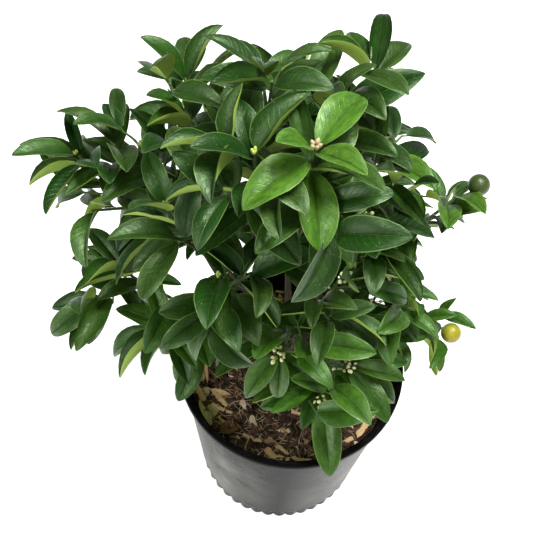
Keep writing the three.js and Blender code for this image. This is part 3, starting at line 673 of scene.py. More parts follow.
def grow_leaders(space, masses):
    """The leaves that make the outline. Each arches, so it starts above the way to its tip."""
    random = stream(LEADER_SHAPE["seed"])
    hosts = {mass["name"]: (mass, mass["line"]) for mass in masses}
    hosts.update(grow_shoots(space, {mass["name"]: mass for mass in masses}))
    for name, rows in LEADERS.items():
        mass, line = hosts[name]
        for share, pixel, reach, near, tone, *roll in rows:
            bend, fold = (math.radians(spread(LEADER_SHAPE[k], next(random))) for k in ("bend", "fold"))
            root = along(line, share)[0]
            way = way_to_pixel(root, pixel, reach, near)
            top = square_to(UP, way)
            if roll:
                turn, away = math.radians(roll[0]), square_to(-BACK, way)
                top = square_to(top * math.cos(turn) + away * math.sin(turn), way)
                fold = math.radians(LEADER_SHAPE["rolled_fold"])
            ahead = way * math.cos(bend / 2) + top * math.sin(bend / 2)
            room, margin = LEADER_SHAPE["room"], LEADER_SHAPE["margin"]
            leaf = Leaf(root, ahead, top, reach - LEAF["petiole"], bend, fold, room, margin)
            leaf.owner, leaf.tone, leaf.canoe = name, tone, bool(roll)
            space.add_leaf(leaf)
            mass["leaves"].append(leaf)


def open_up(space, masses):
    """Grows the leaves again with more room round them, after the leaders and clear of the openings."""
    for i, mass in enumerate(masses):
        points = np.concatenate([leaf.test_points() for leaf in mass["leaves"]])
        mass["box"] = points.min(0) - REACH_SLACK, points.max(0) + REACH_SLACK
        mass.update(leaves=[], shoots=[], random=stream(OPEN_LEAF["seed"] + OPEN_LEAF["seed_step"] * i))
    space.clear_leaves()
    budded = [mass for mass in masses if mass["name"] in BUDS_IN_VIEW["masses"]]
    space.bud_tips = np.array([mass["line"][-1] for mass in budded])
    grow_leaders(space, masses)
    grow_leaves(space, masses, "places", OPEN_LEAF, has_room)


def grow_finer(space, masses):
    """Carries each mass on to finer twigs and more leaves, within its own reach."""
    for i, mass in enumerate(masses):
        mass.update(random=stream(FINE["seed"] + FINE["seed_step"] * i), fine_twigs=[], fine_places=[])
        hosts = [mass, *mass["side_twigs"]]
        for k in range(FINE["tries"]):
            draw, host = draws(mass["random"], 4), hosts[k % len(hosts)]
            length = mass["leaf"] * spread(FINE["length"], draw[2])
            name, parents = f"{mass['name']} fine {k}", [mass["name"], host["name"]]
            share, turn = spread(FINE["shares"], draw[0]), 360 * draw[1]
            mass["fine_twigs"] += grow_twig(space, name, FINE, host, share, turn, length, parents)
    for mass in masses:
        for k, twig in enumerate(mass["fine_twigs"]):
            size = mass["leaf"] * spread(FINE["size"], next(mass["random"]))
            mass["fine_places"] += leaf_places(twig, FINE, mass["phase"] + FINE["turn_step"] * k, size)
    grow_leaves(space, masses, "fine_places", FINE_LEAF, has_room)
    for mass in masses:
        bearing = {leaf.owner for leaf in mass["leaves"]}
        bearers = [twig for twig in mass["side_twigs"] + mass["fine_twigs"] if twig["name"] in bearing]
        mass["all_twigs"] = bearers + mass["shoots"]


# ---------------------------------------------------------------- meshes
CORNERS = [(0, 0), (1, 0), (1, 1), (0, 0), (1, 1), (0, 1)]  # of the two triangles in a grid's square


class Pile:
    """Triangles in millimetres, with a UV for each corner and a material number, that become one piece."""

    def __init__(self):
        self.points, self.tris, self.uvs, self.slots, self.count = [], [], [], [], 0

    def add(self, points, tris, uvs, slot):
        """uvs holds a pair for each point, or for each corner of each triangle."""
        points, tris, uvs = np.asarray(points, float), np.asarray(tris, int), np.asarray(uvs, float)
        self.points.append(points)
        self.tris.append(tris + self.count)
        self.uvs.append(uvs if uvs.ndim == 3 else uvs[tris])
        self.slots.append(np.broadcast_to(slot, len(tris)))
        self.count += len(points)


def make_piece(name, pile, materials, sharp):
    points, tris = np.concatenate(pile.points) * MM, np.concatenate(pile.tris)
    mesh = bpy.data.meshes.new(name)
    mesh.vertices.add(len(points))
    mesh.vertices.foreach_set("co", points.ravel())
    mesh.loops.add(tris.size)
    mesh.loops.foreach_set("vertex_index", tris.ravel().astype(np.int32))
    mesh.polygons.add(len(tris))
    mesh.polygons.foreach_set("loop_start", np.arange(0, tris.size, 3, dtype=np.int32))
    mesh.polygons.foreach_set("material_index", np.concatenate(pile.slots).astype(np.int32))
    mesh.update(calc_edges=True)
    mesh.uv_layers.new(name="OFBake").data.foreach_set("uv", np.concatenate(pile.uvs).ravel())
    for material in materials:
        mesh.materials.append(material)
    mesh.validate()
    mesh.shade_smooth()
    mesh.set_sharp_from_angle(angle=math.radians(sharp))
    piece = bpy.data.objects.new(name, mesh)
    bpy.context.scene.collection.objects.link(piece)
    return piece


def grid(rows, columns, closed=False):
    """The triangles of a grid of points and their corners' UVs. A closed grid has a clean seam."""
    wide = columns if closed else columns - 1
    i, j = np.meshgrid(np.arange(rows - 1), np.arange(wide), indexing="ij")
    tris = [(i + b) * columns + (j + a) % columns for a, b in CORNERS]
    uvs = [np.stack([(j + a) / wide, (i + b) / (rows - 1)], -1) for a, b in CORNERS]
    return np.stack(tris, 2).reshape(-1, 3), np.stack(uvs, 2).reshape(-1, 3, 2)


def add_rings(pile, rings, ends, slot, v_range=(0, 1), tile=None):
    """A closed skin over rings of points, with an end point beyond the first ring and the last."""
    rows, count = rings.shape[:2]
    k = np.arange(count)
    base, first = (rows - 1) * count, rows * count
    low = np.stack([np.full(count, first), (k + 1) % count, k], -1)
    high = np.stack([np.full(count, first + 1), base + k, base + (k + 1) % count], -1)
    cap_uvs = np.zeros((2 * count, 3, 2))
    cap_uvs[..., 0] = (np.tile(k, 2)[:, None] + 0.5) / count
    cap_uvs[count:, :, 1] = 1
    tris, uvs = grid(rows, count, True)
    uvs = np.concatenate([uvs, cap_uvs])
    uvs[..., 1] = v_range[0] + (v_range[1] - v_range[0]) * uvs[..., 1]
    if tile:
        uvs = tile_uv(uvs, tile)
    pile.add(np.concatenate([rings.reshape(-1, 3), ends]), np.concatenate([tris, low, high]), uvs, slot)


def smooth_line(knots, steps):
    """A Catmull-Rom curve through points."""
    points = np.asarray(knots, float)
    if len(points) < 3:
        return points[0] + (points[-1] - points[0]) * np.linspace(0, 1, steps + 1)[:, None]
    ends = np.vstack([2 * points[0] - points[1], points, 2 * points[-1] - points[-2]])
    spans = np.linspace(0, len(points) - 1, steps + 1)
    i = np.minimum(spans.astype(int), len(points) - 2)
    t = (spans - i)[:, None]
    a, b, c, d = (ends[i + k] for k in range(4))
    return 0.5 * (2 * b + (c - a) * t + (2 * a - 5 * b + 4 * c - d) * t**2 + (3 * b - a - 3 * c + d) * t**3)


def add_tube(pile, line, radii, count, slot, relief=None, v_range=(0, 1), tile=None):
    """A tube with round ends and no twist. relief gives a radius factor for each ring and turn."""
    runs = np.gradient(line, axis=0)
    runs /= np.linalg.norm(runs, axis=1)[:, None]
    sides = [np.array([1.0, 0.2, 0.1])]
    for run in runs:
        sides.append(square_to(sides[-1], run))
    sides = np.array(sides[1:])
    others = np.cross(runs, sides)
    turns = np.arange(count) * 2 * math.pi / count
    factors = np.ones((len(line), count)) if relief is None else relief(len(line), turns)
    out = sides[:, None] * np.cos(turns)[:, None] + others[:, None] * np.sin(turns)[:, None]
    rings = line[:, None] + out * (np.asarray(radii)[:, None] * factors)[..., None]
    ends = [line[0] - runs[0] * radii[0] * 0.5, line[-1] + runs[-1] * radii[-1] * 0.6]
    add_rings(pile, rings, np.array(ends), slot, v_range, tile)


# ---------------------------------------------------------------- materials
TILES = 4  # a side of the UV map: each leaf or chip has one of its squares
POT_FRONT = (0.755, 0.0, 0.11)  # the pot's front in u, and how far off it the painted shade fades: the dust is thinned there, so the wall is darker where it faces the eye
POT_TOP = (0.165, 0.204)  # the heights in metres between which the wall's dust fades out under the lip, as painted shade under the lip


def tile_uv(uv, tile):
    return (0.03 + 0.94 * np.asarray(uv) + tile) / TILES


class Paint:
    """A Principled material, its nodes, and its base colour so far."""

    def __init__(self, name, specular, base=(0, 0, 0), **sockets):
        self.material = bpy.data.materials.new(name)
        self.material.use_nodes = True
        self.tree = self.material.node_tree
        self.shader = self.tree.nodes["Principled BSDF"]
        for socket, value in {"Specular_IOR_Level": specular, **sockets}.items():
            self.shader.inputs[socket.replace("_", " ")].default_value = value
        self.base = (*base, 1)

    def node(self, kind, inputs=(), output=0, **settings):
        """Adds a node, links or sets its inputs, and gives one of its outputs."""
        made = self.tree.nodes.new("ShaderNode" + kind)
        for key, value in settings.items():
            setattr(made, key, value)
        for key, value in dict(inputs).items():
            if isinstance(value, bpy.types.NodeSocket):
                self.tree.links.new(value, made.inputs[key])
            else:
                made.inputs[key].default_value = value
        return made.outputs[output]

    def math(self, operation, *values):
        return self.node("Math", dict(enumerate(values)), operation=operation)

    def vector(self, operation, *values):
        return self.node("VectorMath", dict(enumerate(values)), operation=operation)

    def range(self, value, low, high, to_low=0.0, to_high=1.0):
        return self.node("MapRange", {0: value, 1: low, 2: high, 3: to_low, 4: to_high}, clamp=True)

    def noise(self, vector, scale, detail, rough):
        """Noise with one scale, or stretched by a scale for each axis."""
        if isinstance(scale, tuple):
            vector, scale = self.vector("MULTIPLY", vector, scale), 1.0
        inputs = {"Vector": vector, "Scale": scale, "Detail": detail, "Roughness": rough}
        return self.node("TexNoise", inputs)

    def place(self):
        return self.node("NewGeometry", output="Position")

    def uv(self):
        """The UV, and its u and v."""
        uv = self.node("UVMap", uv_map="OFBake")
        return uv, *self.parts(uv)

    def parts(self, vector):
        made = self.node("SeparateXYZ", {0: vector}).node
        return made.outputs[0], made.outputs[1]

    def tile(self):
        """The UV in tiles, the place inside its tile, and the tile's column and row."""
        grown = self.vector("MULTIPLY", self.node("UVMap", uv_map="OFBake"), (TILES, TILES, 0))
        return grown, self.vector("FRACTION", grown), *self.parts(self.vector("FLOOR", grown))

    def ramp(self, value, *stops, constant=False):
        colour = self.node("ValToRGB", {0: value})
        marks = colour.node.color_ramp.elements
        colour.node.color_ramp.interpolation = "CONSTANT" if constant else "LINEAR"
        while len(marks) < len(stops):
            marks.new(1)
        for mark, (place, shade) in zip(marks, stops):
            mark.position, mark.color = place, (*shade, 1)
        return colour

    def tones(self, number, count, stops):
        """Flat colours for the numbers from 0 to a count, each from its own number on."""
        share = self.math("DIVIDE", self.math("ADD", number, 0.5), count)
        self.base = self.ramp(share, *((k / count, shade) for k, shade in stops), constant=True)

    def tint(self, value, low, high, most, colour, blend="MIX"):
        """Mixes a colour in: none where a value is low, and most where it is high."""
        shade = colour if isinstance(colour, bpy.types.NodeSocket) else (*colour, 1)
        inputs = {0: self.range(value, low, high, 0, most), 6: self.base, 7: shade}
        self.base = self.node("Mix", inputs, 2, data_type="RGBA", blend_type=blend)

    def out(self, rough=None, height=None, strength=0.0, distance=0.0):
        links = {"Base Color": self.base, "Roughness": rough}
        if height is not None:
            inputs = {"Height": height, "Strength": strength, "Distance": distance}
            links["Normal"] = self.node("Bump", inputs)
        for socket, value in links.items():
            if value is not None:
                self.tree.links.new(value, self.shader.inputs[socket])
        return self.material


def leaf_veins(p, inside):
    """Masks of a leaf's midrib, its side veins and its margin."""
    u, v = p.parts(inside)
    off = p.math("ABSOLUTE", p.math("SUBTRACT", u, 0.5))
    slant = p.math("SUBTRACT", p.math("MULTIPLY", v, 11.0), p.math("MULTIPLY", off, 5.0))
    wave = p.math("ABSOLUTE", p.math("SUBTRACT", p.math("FRACT", slant), 0.5))
    side = p.math("MULTIPLY", p.range(wave, 0.0, 0.09, 1, 0), p.range(off, 0.3, 0.46, 1, 0))
    return p.range(off, 0.004, 0.022, 1, 0), side, p.range(off, 0.435, 0.46)


def leaf_top():
    """Glossy green. The tile's row is the leaf's tone, from dark to young."""
    p = Paint("leaf_top", 0.6, Specular_Tint=(0.75, 1.0, 0.6, 1))
    grown, inside, column, row = p.tile()
    midrib, side, margin = leaf_veins(p, inside)
    greens = (0.005, 0.036, 0.0015), (0.016, 0.066, 0.004), (0.028, 0.098, 0.005), (0.055, 0.15, 0.009)
    p.tones(row, TILES, enumerate(greens))
    mottle = p.noise(grown, 7.0, 5.0, 0.65)
    p.tint(column, 0, TILES - 1, 0.25, (0.06, 0.1, 0.012))
    p.tint(p.noise(grown, 2.6, 3.0, 0.55), 0.4, 0.62, 1, (1.45, 1.3, 1.4), "MULTIPLY")
    p.tint(mottle, 0.4, 0.64, 1, (0.45, 0.52, 0.5), "MULTIPLY")
    p.tint(side, 0, 1, 0.12, (0.11, 0.22, 0.05))
    p.tint(margin, 0, 1, 0.6, (0.19, 0.29, 0.08))
    p.tint(midrib, 0, 1, 0.35, (0.14, 0.24, 0.05))
    p.tint(p.noise(grown, 46.0, 0.0, 0.5), 0.79, 0.83, 0.6, (0.5, 0.56, 0.4))
    height = p.math("SUBTRACT", p.math("MULTIPLY", mottle, 1.3), p.math("MULTIPLY", side, 0.25))
    height = p.math("SUBTRACT", height, p.math("MULTIPLY", midrib, 0.9))
    return p.out(p.range(mottle, 0.35, 0.65, 0.31, 0.5), height, 0.45, 0.001)


def leaf_under():
    p = Paint("leaf_under", 0.35)
    grown, inside, _, row = p.tile()
    midrib, side, _ = leaf_veins(p, inside)
    # Pale lime undersides: partly their own colour, partly painted light, made brighter to stand in for
    # light shining through the thin leaf.
    greens = (0.3, 0.43, 0.075), (0.33, 0.47, 0.08), (0.35, 0.5, 0.085), (0.37, 0.53, 0.09)
    p.tones(row, TILES, enumerate(greens))
    mottle = p.noise(grown, 9.0, 3.0, 0.6)
    p.tint(mottle, 0.35, 0.7, 0.4, (0.2, 0.33, 0.05))
    p.tint(side, 0, 1, 0.25, (0.28, 0.38, 0.1))
    p.tint(midrib, 0, 1, 0.6, (0.32, 0.4, 0.12))
    height = p.math("ADD", p.math("MULTIPLY", side, 0.5), midrib)
    return p.out(p.range(mottle, 0.3, 0.7, 0.5, 0.62), height, 0.4, 0.0006)


def leaf_stalk():
    p = Paint("leaf_stalk", 0.4, (0.04, 0.1, 0.015))
    grain = p.noise(p.uv()[0], (160.0, 40.0, 1.0), 2.0, 0.5)
    p.tint(grain, 0.35, 0.7, 1, (0.1, 0.18, 0.03))
    return p.out(p.range(grain, 0.3, 0.7, 0.45, 0.6))


def bark():
    p = Paint("bark", 0.3)
    uv = p.uv()[0]
    furrows = p.noise(uv, (26.0, 9.0, 1.0), 6.0, 0.65)
    browns = (0.3, (0.022, 0.016, 0.01)), (0.55, (0.085, 0.065, 0.042)), (0.8, (0.2, 0.17, 0.12))
    p.base = p.ramp(furrows, *browns)
    p.tint(p.noise(uv, (5.0, 7.0, 1.0), 3.0, 0.5), 0.45, 0.7, 0.6, (0.06, 0.065, 0.035))
    return p.out(p.range(furrows, 0.3, 0.7, 0.9, 0.7), furrows, 0.8, 0.0015)


def twig_bark():
    """Brown where a twig starts and green at its tip."""
    p = Paint("twig_bark", 0.4)
    uv, _, v = p.uv()
    streaks = p.noise(uv, (14.0, 60.0, 1.0), 4.0, 0.6)
    p.base = p.ramp(streaks, (0.3, (0.03, 0.024, 0.014)), (0.7, (0.13, 0.1, 0.06)))
    green = p.ramp(streaks, (0.3, (0.035, 0.08, 0.02)), (0.7, (0.085, 0.15, 0.04)))
    ragged = p.math("ADD", v, p.math("MULTIPLY", p.math("SUBTRACT", streaks, 0.5), 0.3))
    p.tint(ragged, 0.3, 0.6, 1, green)
    return p.out(p.range(streaks, 0.3, 0.7, 0.75, 0.5), streaks, 0.5, 0.0006)


def pot_lip():
    """Clean glossy black plastic, for the lip and the inside."""
    p = Paint("pot_lip", 0.008, (0.004, 0.004, 0.0042))
    rubbed = p.noise(p.uv()[0], (60.0, 40.0, 1.0), 4.0, 0.6)
    p.tint(rubbed, 0.5, 0.7, 1, (0.012, 0.012, 0.0115))
    return p.out(p.range(rubbed, 0.35, 0.65, 0.16, 0.3), rubbed, 0.1, 0.0004)


def pot_plastic():
    """Black plastic, dusty and rubbed outside. The dust is thinned on the pot's front and fades out under
    the lip: painted shade, which darkens the wall there.
    """
    p = Paint("pot_plastic", 0.017, (0.004, 0.0042, 0.004))
    uv, u, _ = p.uv()
    streaks = p.noise(uv, (150.0, 3.0, 1.0), 3.0, 0.6)
    clouds = p.noise(uv, (9.0, 9.0, 1.0), 5.0, 0.6)
    scuffs = p.noise(uv, (30.0, 70.0, 1.0), 4.0, 0.7)
    # Painted shade under the lip: the dust fades out towards the lip, so the wall darkens there.
    outside = p.range(p.node("SeparateXYZ", {0: p.place()}, 2), *POT_TOP, 1, 0.1)
    film = p.math("MULTIPLY", p.range(clouds, 0.38, 0.62, 0.08, 1), 0.85)
    dust_and_shade = p.math("ADD", film, p.math("MULTIPLY", streaks, 0.2))
    dust_and_shade = p.math("ADD", dust_and_shade, p.range(scuffs, 0.56, 0.72, 0, 0.4))
    # Painted shade on the pot's front: the dust is thinned where the wall faces the eye, so it shows darker.
    middle, near, far = POT_FRONT
    front_shade = p.range(p.math("ABSOLUTE", p.math("SUBTRACT", u, middle)), near, far, 0.08, 1)
    # The dust, with painted shade: less of it under the lip and on the front.
    dust_and_shade = p.math("MULTIPLY", p.math("MULTIPLY", dust_and_shade, outside), front_shade)
    p.tint(dust_and_shade, 0, 1, 1, (0.23, 0.232, 0.21))
    rough = p.math("ADD", p.range(clouds, 0.35, 0.65, 0.22, 0.34), p.math("MULTIPLY", dust_and_shade, 0.1))
    return p.out(rough, p.math("ADD", streaks, scuffs), 0.2, 0.0006)


def soil_earth():
    p = Paint("soil_earth", 0.2)
    place = p.place()
    clumps = p.noise(place, 130.0, 6.0, 0.7)
    browns = (0.3, (0.008, 0.004, 0.003)), (0.55, (0.036, 0.02, 0.013)), (0.8, (0.16, 0.095, 0.066))
    p.base = p.ramp(clumps, *browns)
    p.tint(p.noise(place, (900.0, 260.0, 300.0), 4.0, 0.6), 0.55, 0.68, 0.8, (0.28, 0.2, 0.13))
    return p.out(p.range(clumps, 0.3, 0.7, 0.95, 0.8), clumps, 1.0, 0.003)


def chip_wood():
    """Bark chips and dry litter: each UV tile has its own tone."""
    p = Paint("chip_wood", 0.25)
    grown, _, column, row = p.tile()
    browns = {
        0: (0.02, 0.01, 0.008), 3: (0.05, 0.024, 0.017), 7: (0.1, 0.047, 0.032), 10: (0.27, 0.15, 0.095),
        12: (0.76, 0.58, 0.44), 14: (0.84, 0.56, 0.3),
    }
    p.tones(p.math("ADD", column, p.math("MULTIPLY", row, TILES)), TILES**2, browns.items())
    fibres = p.noise(grown, (16.0, 1.6, 1.0), 5.0, 0.65)
    p.tint(fibres, 0.5, 0.75, 0.5, (0.015, 0.009, 0.006))
    p.tint(fibres, 0.5, 0.28, 0.3, (0.42, 0.32, 0.21))
    return p.out(p.range(fibres, 0.3, 0.7, 0.9, 0.7), fibres, 0.8, 0.001)


def dry_leaf():
    """Olive in the first row of tiles, tan in the next two and brown in the last."""
    p = Paint("dry_leaf", 0.25)
    grown, inside, _, row = p.tile()
    midrib, side, _ = leaf_veins(p, inside)
    p.tones(row, TILES, {0: (0.62, 0.57, 0.28), 1: (0.72, 0.47, 0.25), 3: (0.2, 0.1, 0.065)}.items())
    mottle = p.noise(grown, 8.0, 5.0, 0.65)
    p.tint(mottle, 0.45, 0.7, 0.6, (0.16, 0.09, 0.045))
    p.tint(midrib, 0, 1, 0.5, (0.5, 0.4, 0.24))
    return p.out(p.range(mottle, 0.3, 0.7, 0.75, 0.6), p.math("ADD", side, mottle), 0.5, 0.0008)


def fruit_skin(name, light, deep, blush):
    p = Paint(name, 0.5, deep)
    place = p.place()
    pores = p.node("TexVoronoi", {"Vector": place, "Scale": 900.0}, "Distance")
    clouds = p.noise(place, 90.0, 3.0, 0.5)
    p.tint(clouds, 0.4, 0.65, 1, light)
    p.tint(p.uv()[2], 0.3, 0.9, 0.6, blush)
    p.tint(pores, 0.35, 0.0, 0.35, deep)
    return p.out(p.range(clouds, 0.3, 0.7, 0.28, 0.4), pores, 0.35, 0.0005)


def petal(name, foot, tip, flecks):
    p = Paint(name, 0.4, foot)
    uv, _, v = p.uv()
    grain = p.noise(uv, (30.0, 8.0, 1.0), 3.0, 0.5)
    p.tint(v, 0.0, 0.5, 1, tip)
    p.tint(grain, 0.5, 0.7, 0.3, flecks)
    return p.out(p.range(grain, 0.3, 0.7, 0.5, 0.65), grain, 0.2, 0.0004)


def shoot_bud():
    p = Paint("shoot_bud", 0.35, (0.16, 0.26, 0.035))
    uv, _, v = p.uv()
    grain = p.noise(uv, (20.0, 6.0, 1.0), 2.0, 0.5)
    p.tint(v, 0.2, 1.0, 1, (0.48, 0.56, 0.13))
    return p.out(p.range(grain, 0.3, 0.7, 0.5, 0.65), grain, 0.2, 0.0004)


def white_floor():
    sockets = {"Roughness": 0.9, "Emission_Color": (1, 1, 1, 1), "Emission_Strength": 0.6}
    p = Paint("floor", 0.1, (0.93, 0.93, 0.93), **sockets)
    p.tint(p.noise(p.place(), 12.0, 3.0, 0.5), 0.3, 0.7, 1, (0.96, 0.96, 0.96))
    return p.out()


# ---------------------------------------------------------------- leaves
STATIONS = np.array([0, 0.05, 0.13, 0.24, 0.36, 0.49, 0.62, 0.75, 0.86, 0.94, 0.982, 1])
COLUMNS = np.array([-1, -0.72, -0.36, 0, 0.36, 0.72, 1])
BLADE = {
    "start": 4.5, "foot": (0.52, 0.24), "tip": (0.58, 0.34), "slim": (0.92, 0.18), "young": 1.22,
    "puff": 0.13, "ripple": (0.03, 0.08), "droop": 0.07, "fold": 0.16, "curl": 4.5, "curled": 0.4,
    "canoe": 0.72, "edge": (0.5, 0.5, 0.24), "sway": 0.06, "narrow": 0.7, "fold_play": 0.3,
    "wave_play": (0.9, 1), "wave_apart": 0.3, "thick": 0.28, "rib": 0.5,
}
YOUNG = 3  # the tone of a young leaf
STALK = {
    "run_on": 0.06, "sunk": 0.1, "radii": (0.8, 0.55), "rings": 5, "sides": 5, "uv": (0.5, 0.02),
    "patch": 0.03,
}


def blade(leaf, random):
    """The upper and lower points of a blade: rows from its base to its tip, and one tip point at the end."""
    draw = draws(random, 6)
    rows, columns = STATIONS[:-1, None], COLUMNS[None, :]
    distance = BLADE["start"] + (leaf.reach - BLADE["start"]) * rows
    foot, tip = spread(BLADE["foot"], draw[0]), spread(BLADE["tip"], draw[1])
    widest = foot / (foot + tip)
    profile = rows**foot * (1 - rows) ** tip / (widest**foot * (1 - widest) ** tip)
    slim = BLADE["young"] if leaf.tone == YOUNG else spread(BLADE["slim"], draw[1])
    half_width = np.maximum(leaf.half_width * slim * profile, BLADE["narrow"])
    rise, inner, drawn_in = BLADE["edge"]
    canoe = draw[2] > BLADE["canoe"] if leaf.canoe is None else leaf.canoe
    edge = np.clip((np.abs(columns) - inner) / (1 - inner), 0, 1) ** 2 * canoe
    across = half_width * columns * (1 - drawn_in * edge)
    puff = BLADE["puff"] * half_width * np.sin(math.pi * np.abs(columns) ** 0.9)
    curled = abs(leaf.side[2]) > BLADE["curled"] and leaf.tone is None
    folded = BLADE["fold"] * (BLADE["fold_play"] + draw[0]) * (BLADE["curl"] if curled else 1)
    folded = folded * (1 - rows**4) * np.abs(across)
    ripple = spread(BLADE["ripple"], draw[2]) * half_width * columns**2
    waves = rows * spread(BLADE["wave_play"], draw[3]) + draw[4] + BLADE["wave_apart"] * np.sign(columns)
    ripple = ripple * np.sin(2 * math.pi * waves)
    droop = BLADE["droop"] * leaf.length * np.clip((rows - 0.5) / 0.5, 0, 1) ** 2
    sway = BLADE["sway"] * leaf.length * (draw[5] - 0.5)
    middle = puff + folded + ripple + rise * half_width * edge - droop
    thick = BLADE["thick"] * (1 - columns**2)
    rib = BLADE["rib"] * (columns == 0) * (1 - 0.7 * rows)
    side = (sway * rows**2)[..., None] * leaf.side
    upper = leaf.point(distance + 0 * columns, across, middle + thick) + side
    lower = leaf.point(distance + 0 * columns, across, middle - thick - rib) + side
    end = leaf.point(np.array(leaf.reach), np.array(0.0), -BLADE["droop"] * leaf.length) + sway * leaf.side
    return np.concatenate([upper.reshape(-1, 3), lower.reshape(-1, 3), end[None]])


def blade_topology():
    """The triangles of a blade's two faces, which share its margin, and the UVs of its points."""
    rows, wide = len(STATIONS) - 1, len(COLUMNS)
    upper = np.arange(rows * wide).reshape(rows, wide)
    lower = upper + rows * wide
    lower[:, [0, -1]] = upper[:, [0, -1]]
    faces = []
    for face in (upper, lower):
        end = np.stack([face[-1, :-1], face[-1, 1:], np.full(wide - 1, 2 * rows * wide)], -1)
        faces.append(np.concatenate([face.ravel()[grid(rows, wide)[0]], end]))
    foot = [(upper[0, j + 1], upper[0, j], lower[0, j]) for j in range(wide - 1)]
    foot += [(upper[0, j + 1], lower[0, j], lower[0, j + 1]) for j in range(wide - 1)]
    foot = np.array([t for t in foot if len(set(t)) == 3])
    uv = np.stack([np.tile(0.5 + 0.5 * COLUMNS, rows), np.repeat(STATIONS[:-1], wide)], -1)
    return faces[0], np.concatenate([faces[1][:, ::-1], foot]), np.concatenate([uv, uv, [[0.5, 1.0]]])


UPPER_TRIS, LOWER_TRIS, BLADE_UVS = blade_topology()


def add_blade(pile, leaf, tile, random, slots=(0, 1)):
    slot = np.repeat(slots, [len(UPPER_TRIS), len(LOWER_TRIS)])
    pile.add(blade(leaf, random), np.concatenate([UPPER_TRIS, LOWER_TRIS]), tile_uv(BLADE_UVS, tile), slot)


def add_stalk(pile, leaf, tile, slot=2):
    """A leaf's stalk, which runs on to the start of its midrib."""
    distance = np.linspace(0, BLADE["start"] + STALK["run_on"] * leaf.length, STALK["rings"])
    line = leaf.point(distance, 0 * distance, 0 * distance - STALK["sunk"])
    add_tube(pile, line, np.linspace(*STALK["radii"], STALK["rings"]), STALK["sides"], slot)
    pile.uvs[-1] = tile_uv(np.array(STALK["uv"]) + (pile.uvs[-1] - 0.5) * STALK["patch"], tile)


# ---------------------------------------------------------------- pot and soil
LOBES = 42
POT_SECTORS = 8 * LOBES
COLLAR = 7  # the height of the smooth step under the lip
SCALLOP = {"depth": 2.6, "middle": 0.62, "band": 8, "fade": 3}
# How the wall isn't quite true: the size, count and phase of each wave round it, and how each fades.
WAVES = [(0.35, 3, 0.8), (0.25, 5, 2.0)]
WAVE_FADE = {"reach": 60, "below": 6, "from": 20}
SOIL_TOP = {
    "sectors": 168, "rings": 64, "inmost": 3, "lumps": 1.5, "scale": 0.11, "level_edge": (110, 6),
    "layer": 3.0, "fractal": (0.6, 2.1, 5),
}


def add_lathe(pile, profile, sectors, slot, wobble):
    """A closed lathe of (radius, height) pairs round Z. The first and last lie on the axis."""
    profile = np.asarray(profile, float)
    turns = np.arange(sectors) * 2 * math.pi / sectors
    radius, height = wobble(profile[1:-1, :1] + 0 * turns, profile[1:-1, 1:] + 0 * turns, turns)
    rings = np.stack([radius * np.cos(turns), radius * np.sin(turns), height], -1)
    add_rings(pile, rings, np.array([[0, 0, profile[0, 1]], [0, 0, profile[-1, 1]]]), slot)


def pot_profile():
    lip, foot, rim, top = POT["height"] - POT["lip_height"], POT["foot_height"], POT["rim"], POT["height"]
    collar, floor = lip - COLLAR, POT["floor"]
    step, under_lip = wall_radius(collar), wall_radius(lip)
    return [
        # the underside, and the foot with its step
        (0, 0), (30, 0), (60, 0), (POT["foot"] - 6, 0), (POT["foot"] - 1.6, 0), (POT["foot"] - 0.4, 1.2),
        *[(wall_radius(z) - 0.9, z) for z in np.linspace(3, foot - 2, 6)],
        (wall_radius(foot) - 0.5, foot), (wall_radius(foot + 2.5), foot + 2.5),
        # the wall, and the step under the lip
        *[(wall_radius(z), z) for z in np.linspace(foot + 5, collar - 2, 14)],
        (step + 0.1, collar - 0.4), (step + 1.2, collar + 0.2), (step + 1.4, collar + 1.6),
        (under_lip + 1.4, lip - 1.4), (under_lip + 0.5, lip - 0.7), (under_lip + 1.4, lip - 0.1),
        # the rolled lip
        (rim - 1.6, lip), (rim - 0.5, lip + 0.6), (rim - 0.1, lip + 1.8), (rim - 0.1, top - 4),
        *[(rim - 1.6 + 1.6 * math.sin(a), top - 2.2 + 2.2 * math.cos(a)) for a in np.linspace(1.5, -0.3, 7)],
        (inner_radius(top) + 1.2, top - 0.6), (inner_radius(top), top - 2),
        # the inside, down to the floor
        *[(inner_radius(z), z) for z in np.linspace(top - 4, floor + 4, 12)],
        (inner_radius(floor) - 3, floor + 0.4), (60, floor), (0, floor),
    ]


def pot_wobble(radius, height, turns):
    """Scalloped lobes round the outside of the foot, and a wall that isn't quite true."""
    lobed = np.clip((POT["foot_height"] + 1 - height) / SCALLOP["fade"], 0, 1)
    lobed = lobed * (radius > POT["foot"] - SCALLOP["band"])
    outer = radius > inner_radius(height) + 0.5
    scallop = (np.abs(np.cos(turns * LOBES / 2)) - SCALLOP["middle"]) * SCALLOP["depth"]
    wave = sum(size * np.sin(count * turns + phase) for size, count, phase in WAVES)
    wave = wave * np.clip(height / WAVE_FADE["reach"], 0, 1)
    wave = wave * np.clip((POT["height"] - WAVE_FADE["below"] - height) / WAVE_FADE["reach"], 0, 1)
    return radius + lobed * outer * scallop + wave * (height > WAVE_FADE["from"]), height


def pile_up_pot():
    """The shell: its wall has the first material, and its lip and inside have the second."""
    pile = Pile()
    add_lathe(pile, pot_profile(), POT_SECTORS, 0, pot_wobble)
    corners = pile.points[0][pile.tris[0]]
    out, high = np.hypot(corners[..., 0], corners[..., 1]).min(1), corners[..., 2]
    below_lip = high.max(1) < POT["height"] - POT["lip_height"] - COLLAR
    pile.slots = [np.where((out > inner_radius(high.mean(1)) + 0.6) & below_lip, 0, 1)]
    return pile


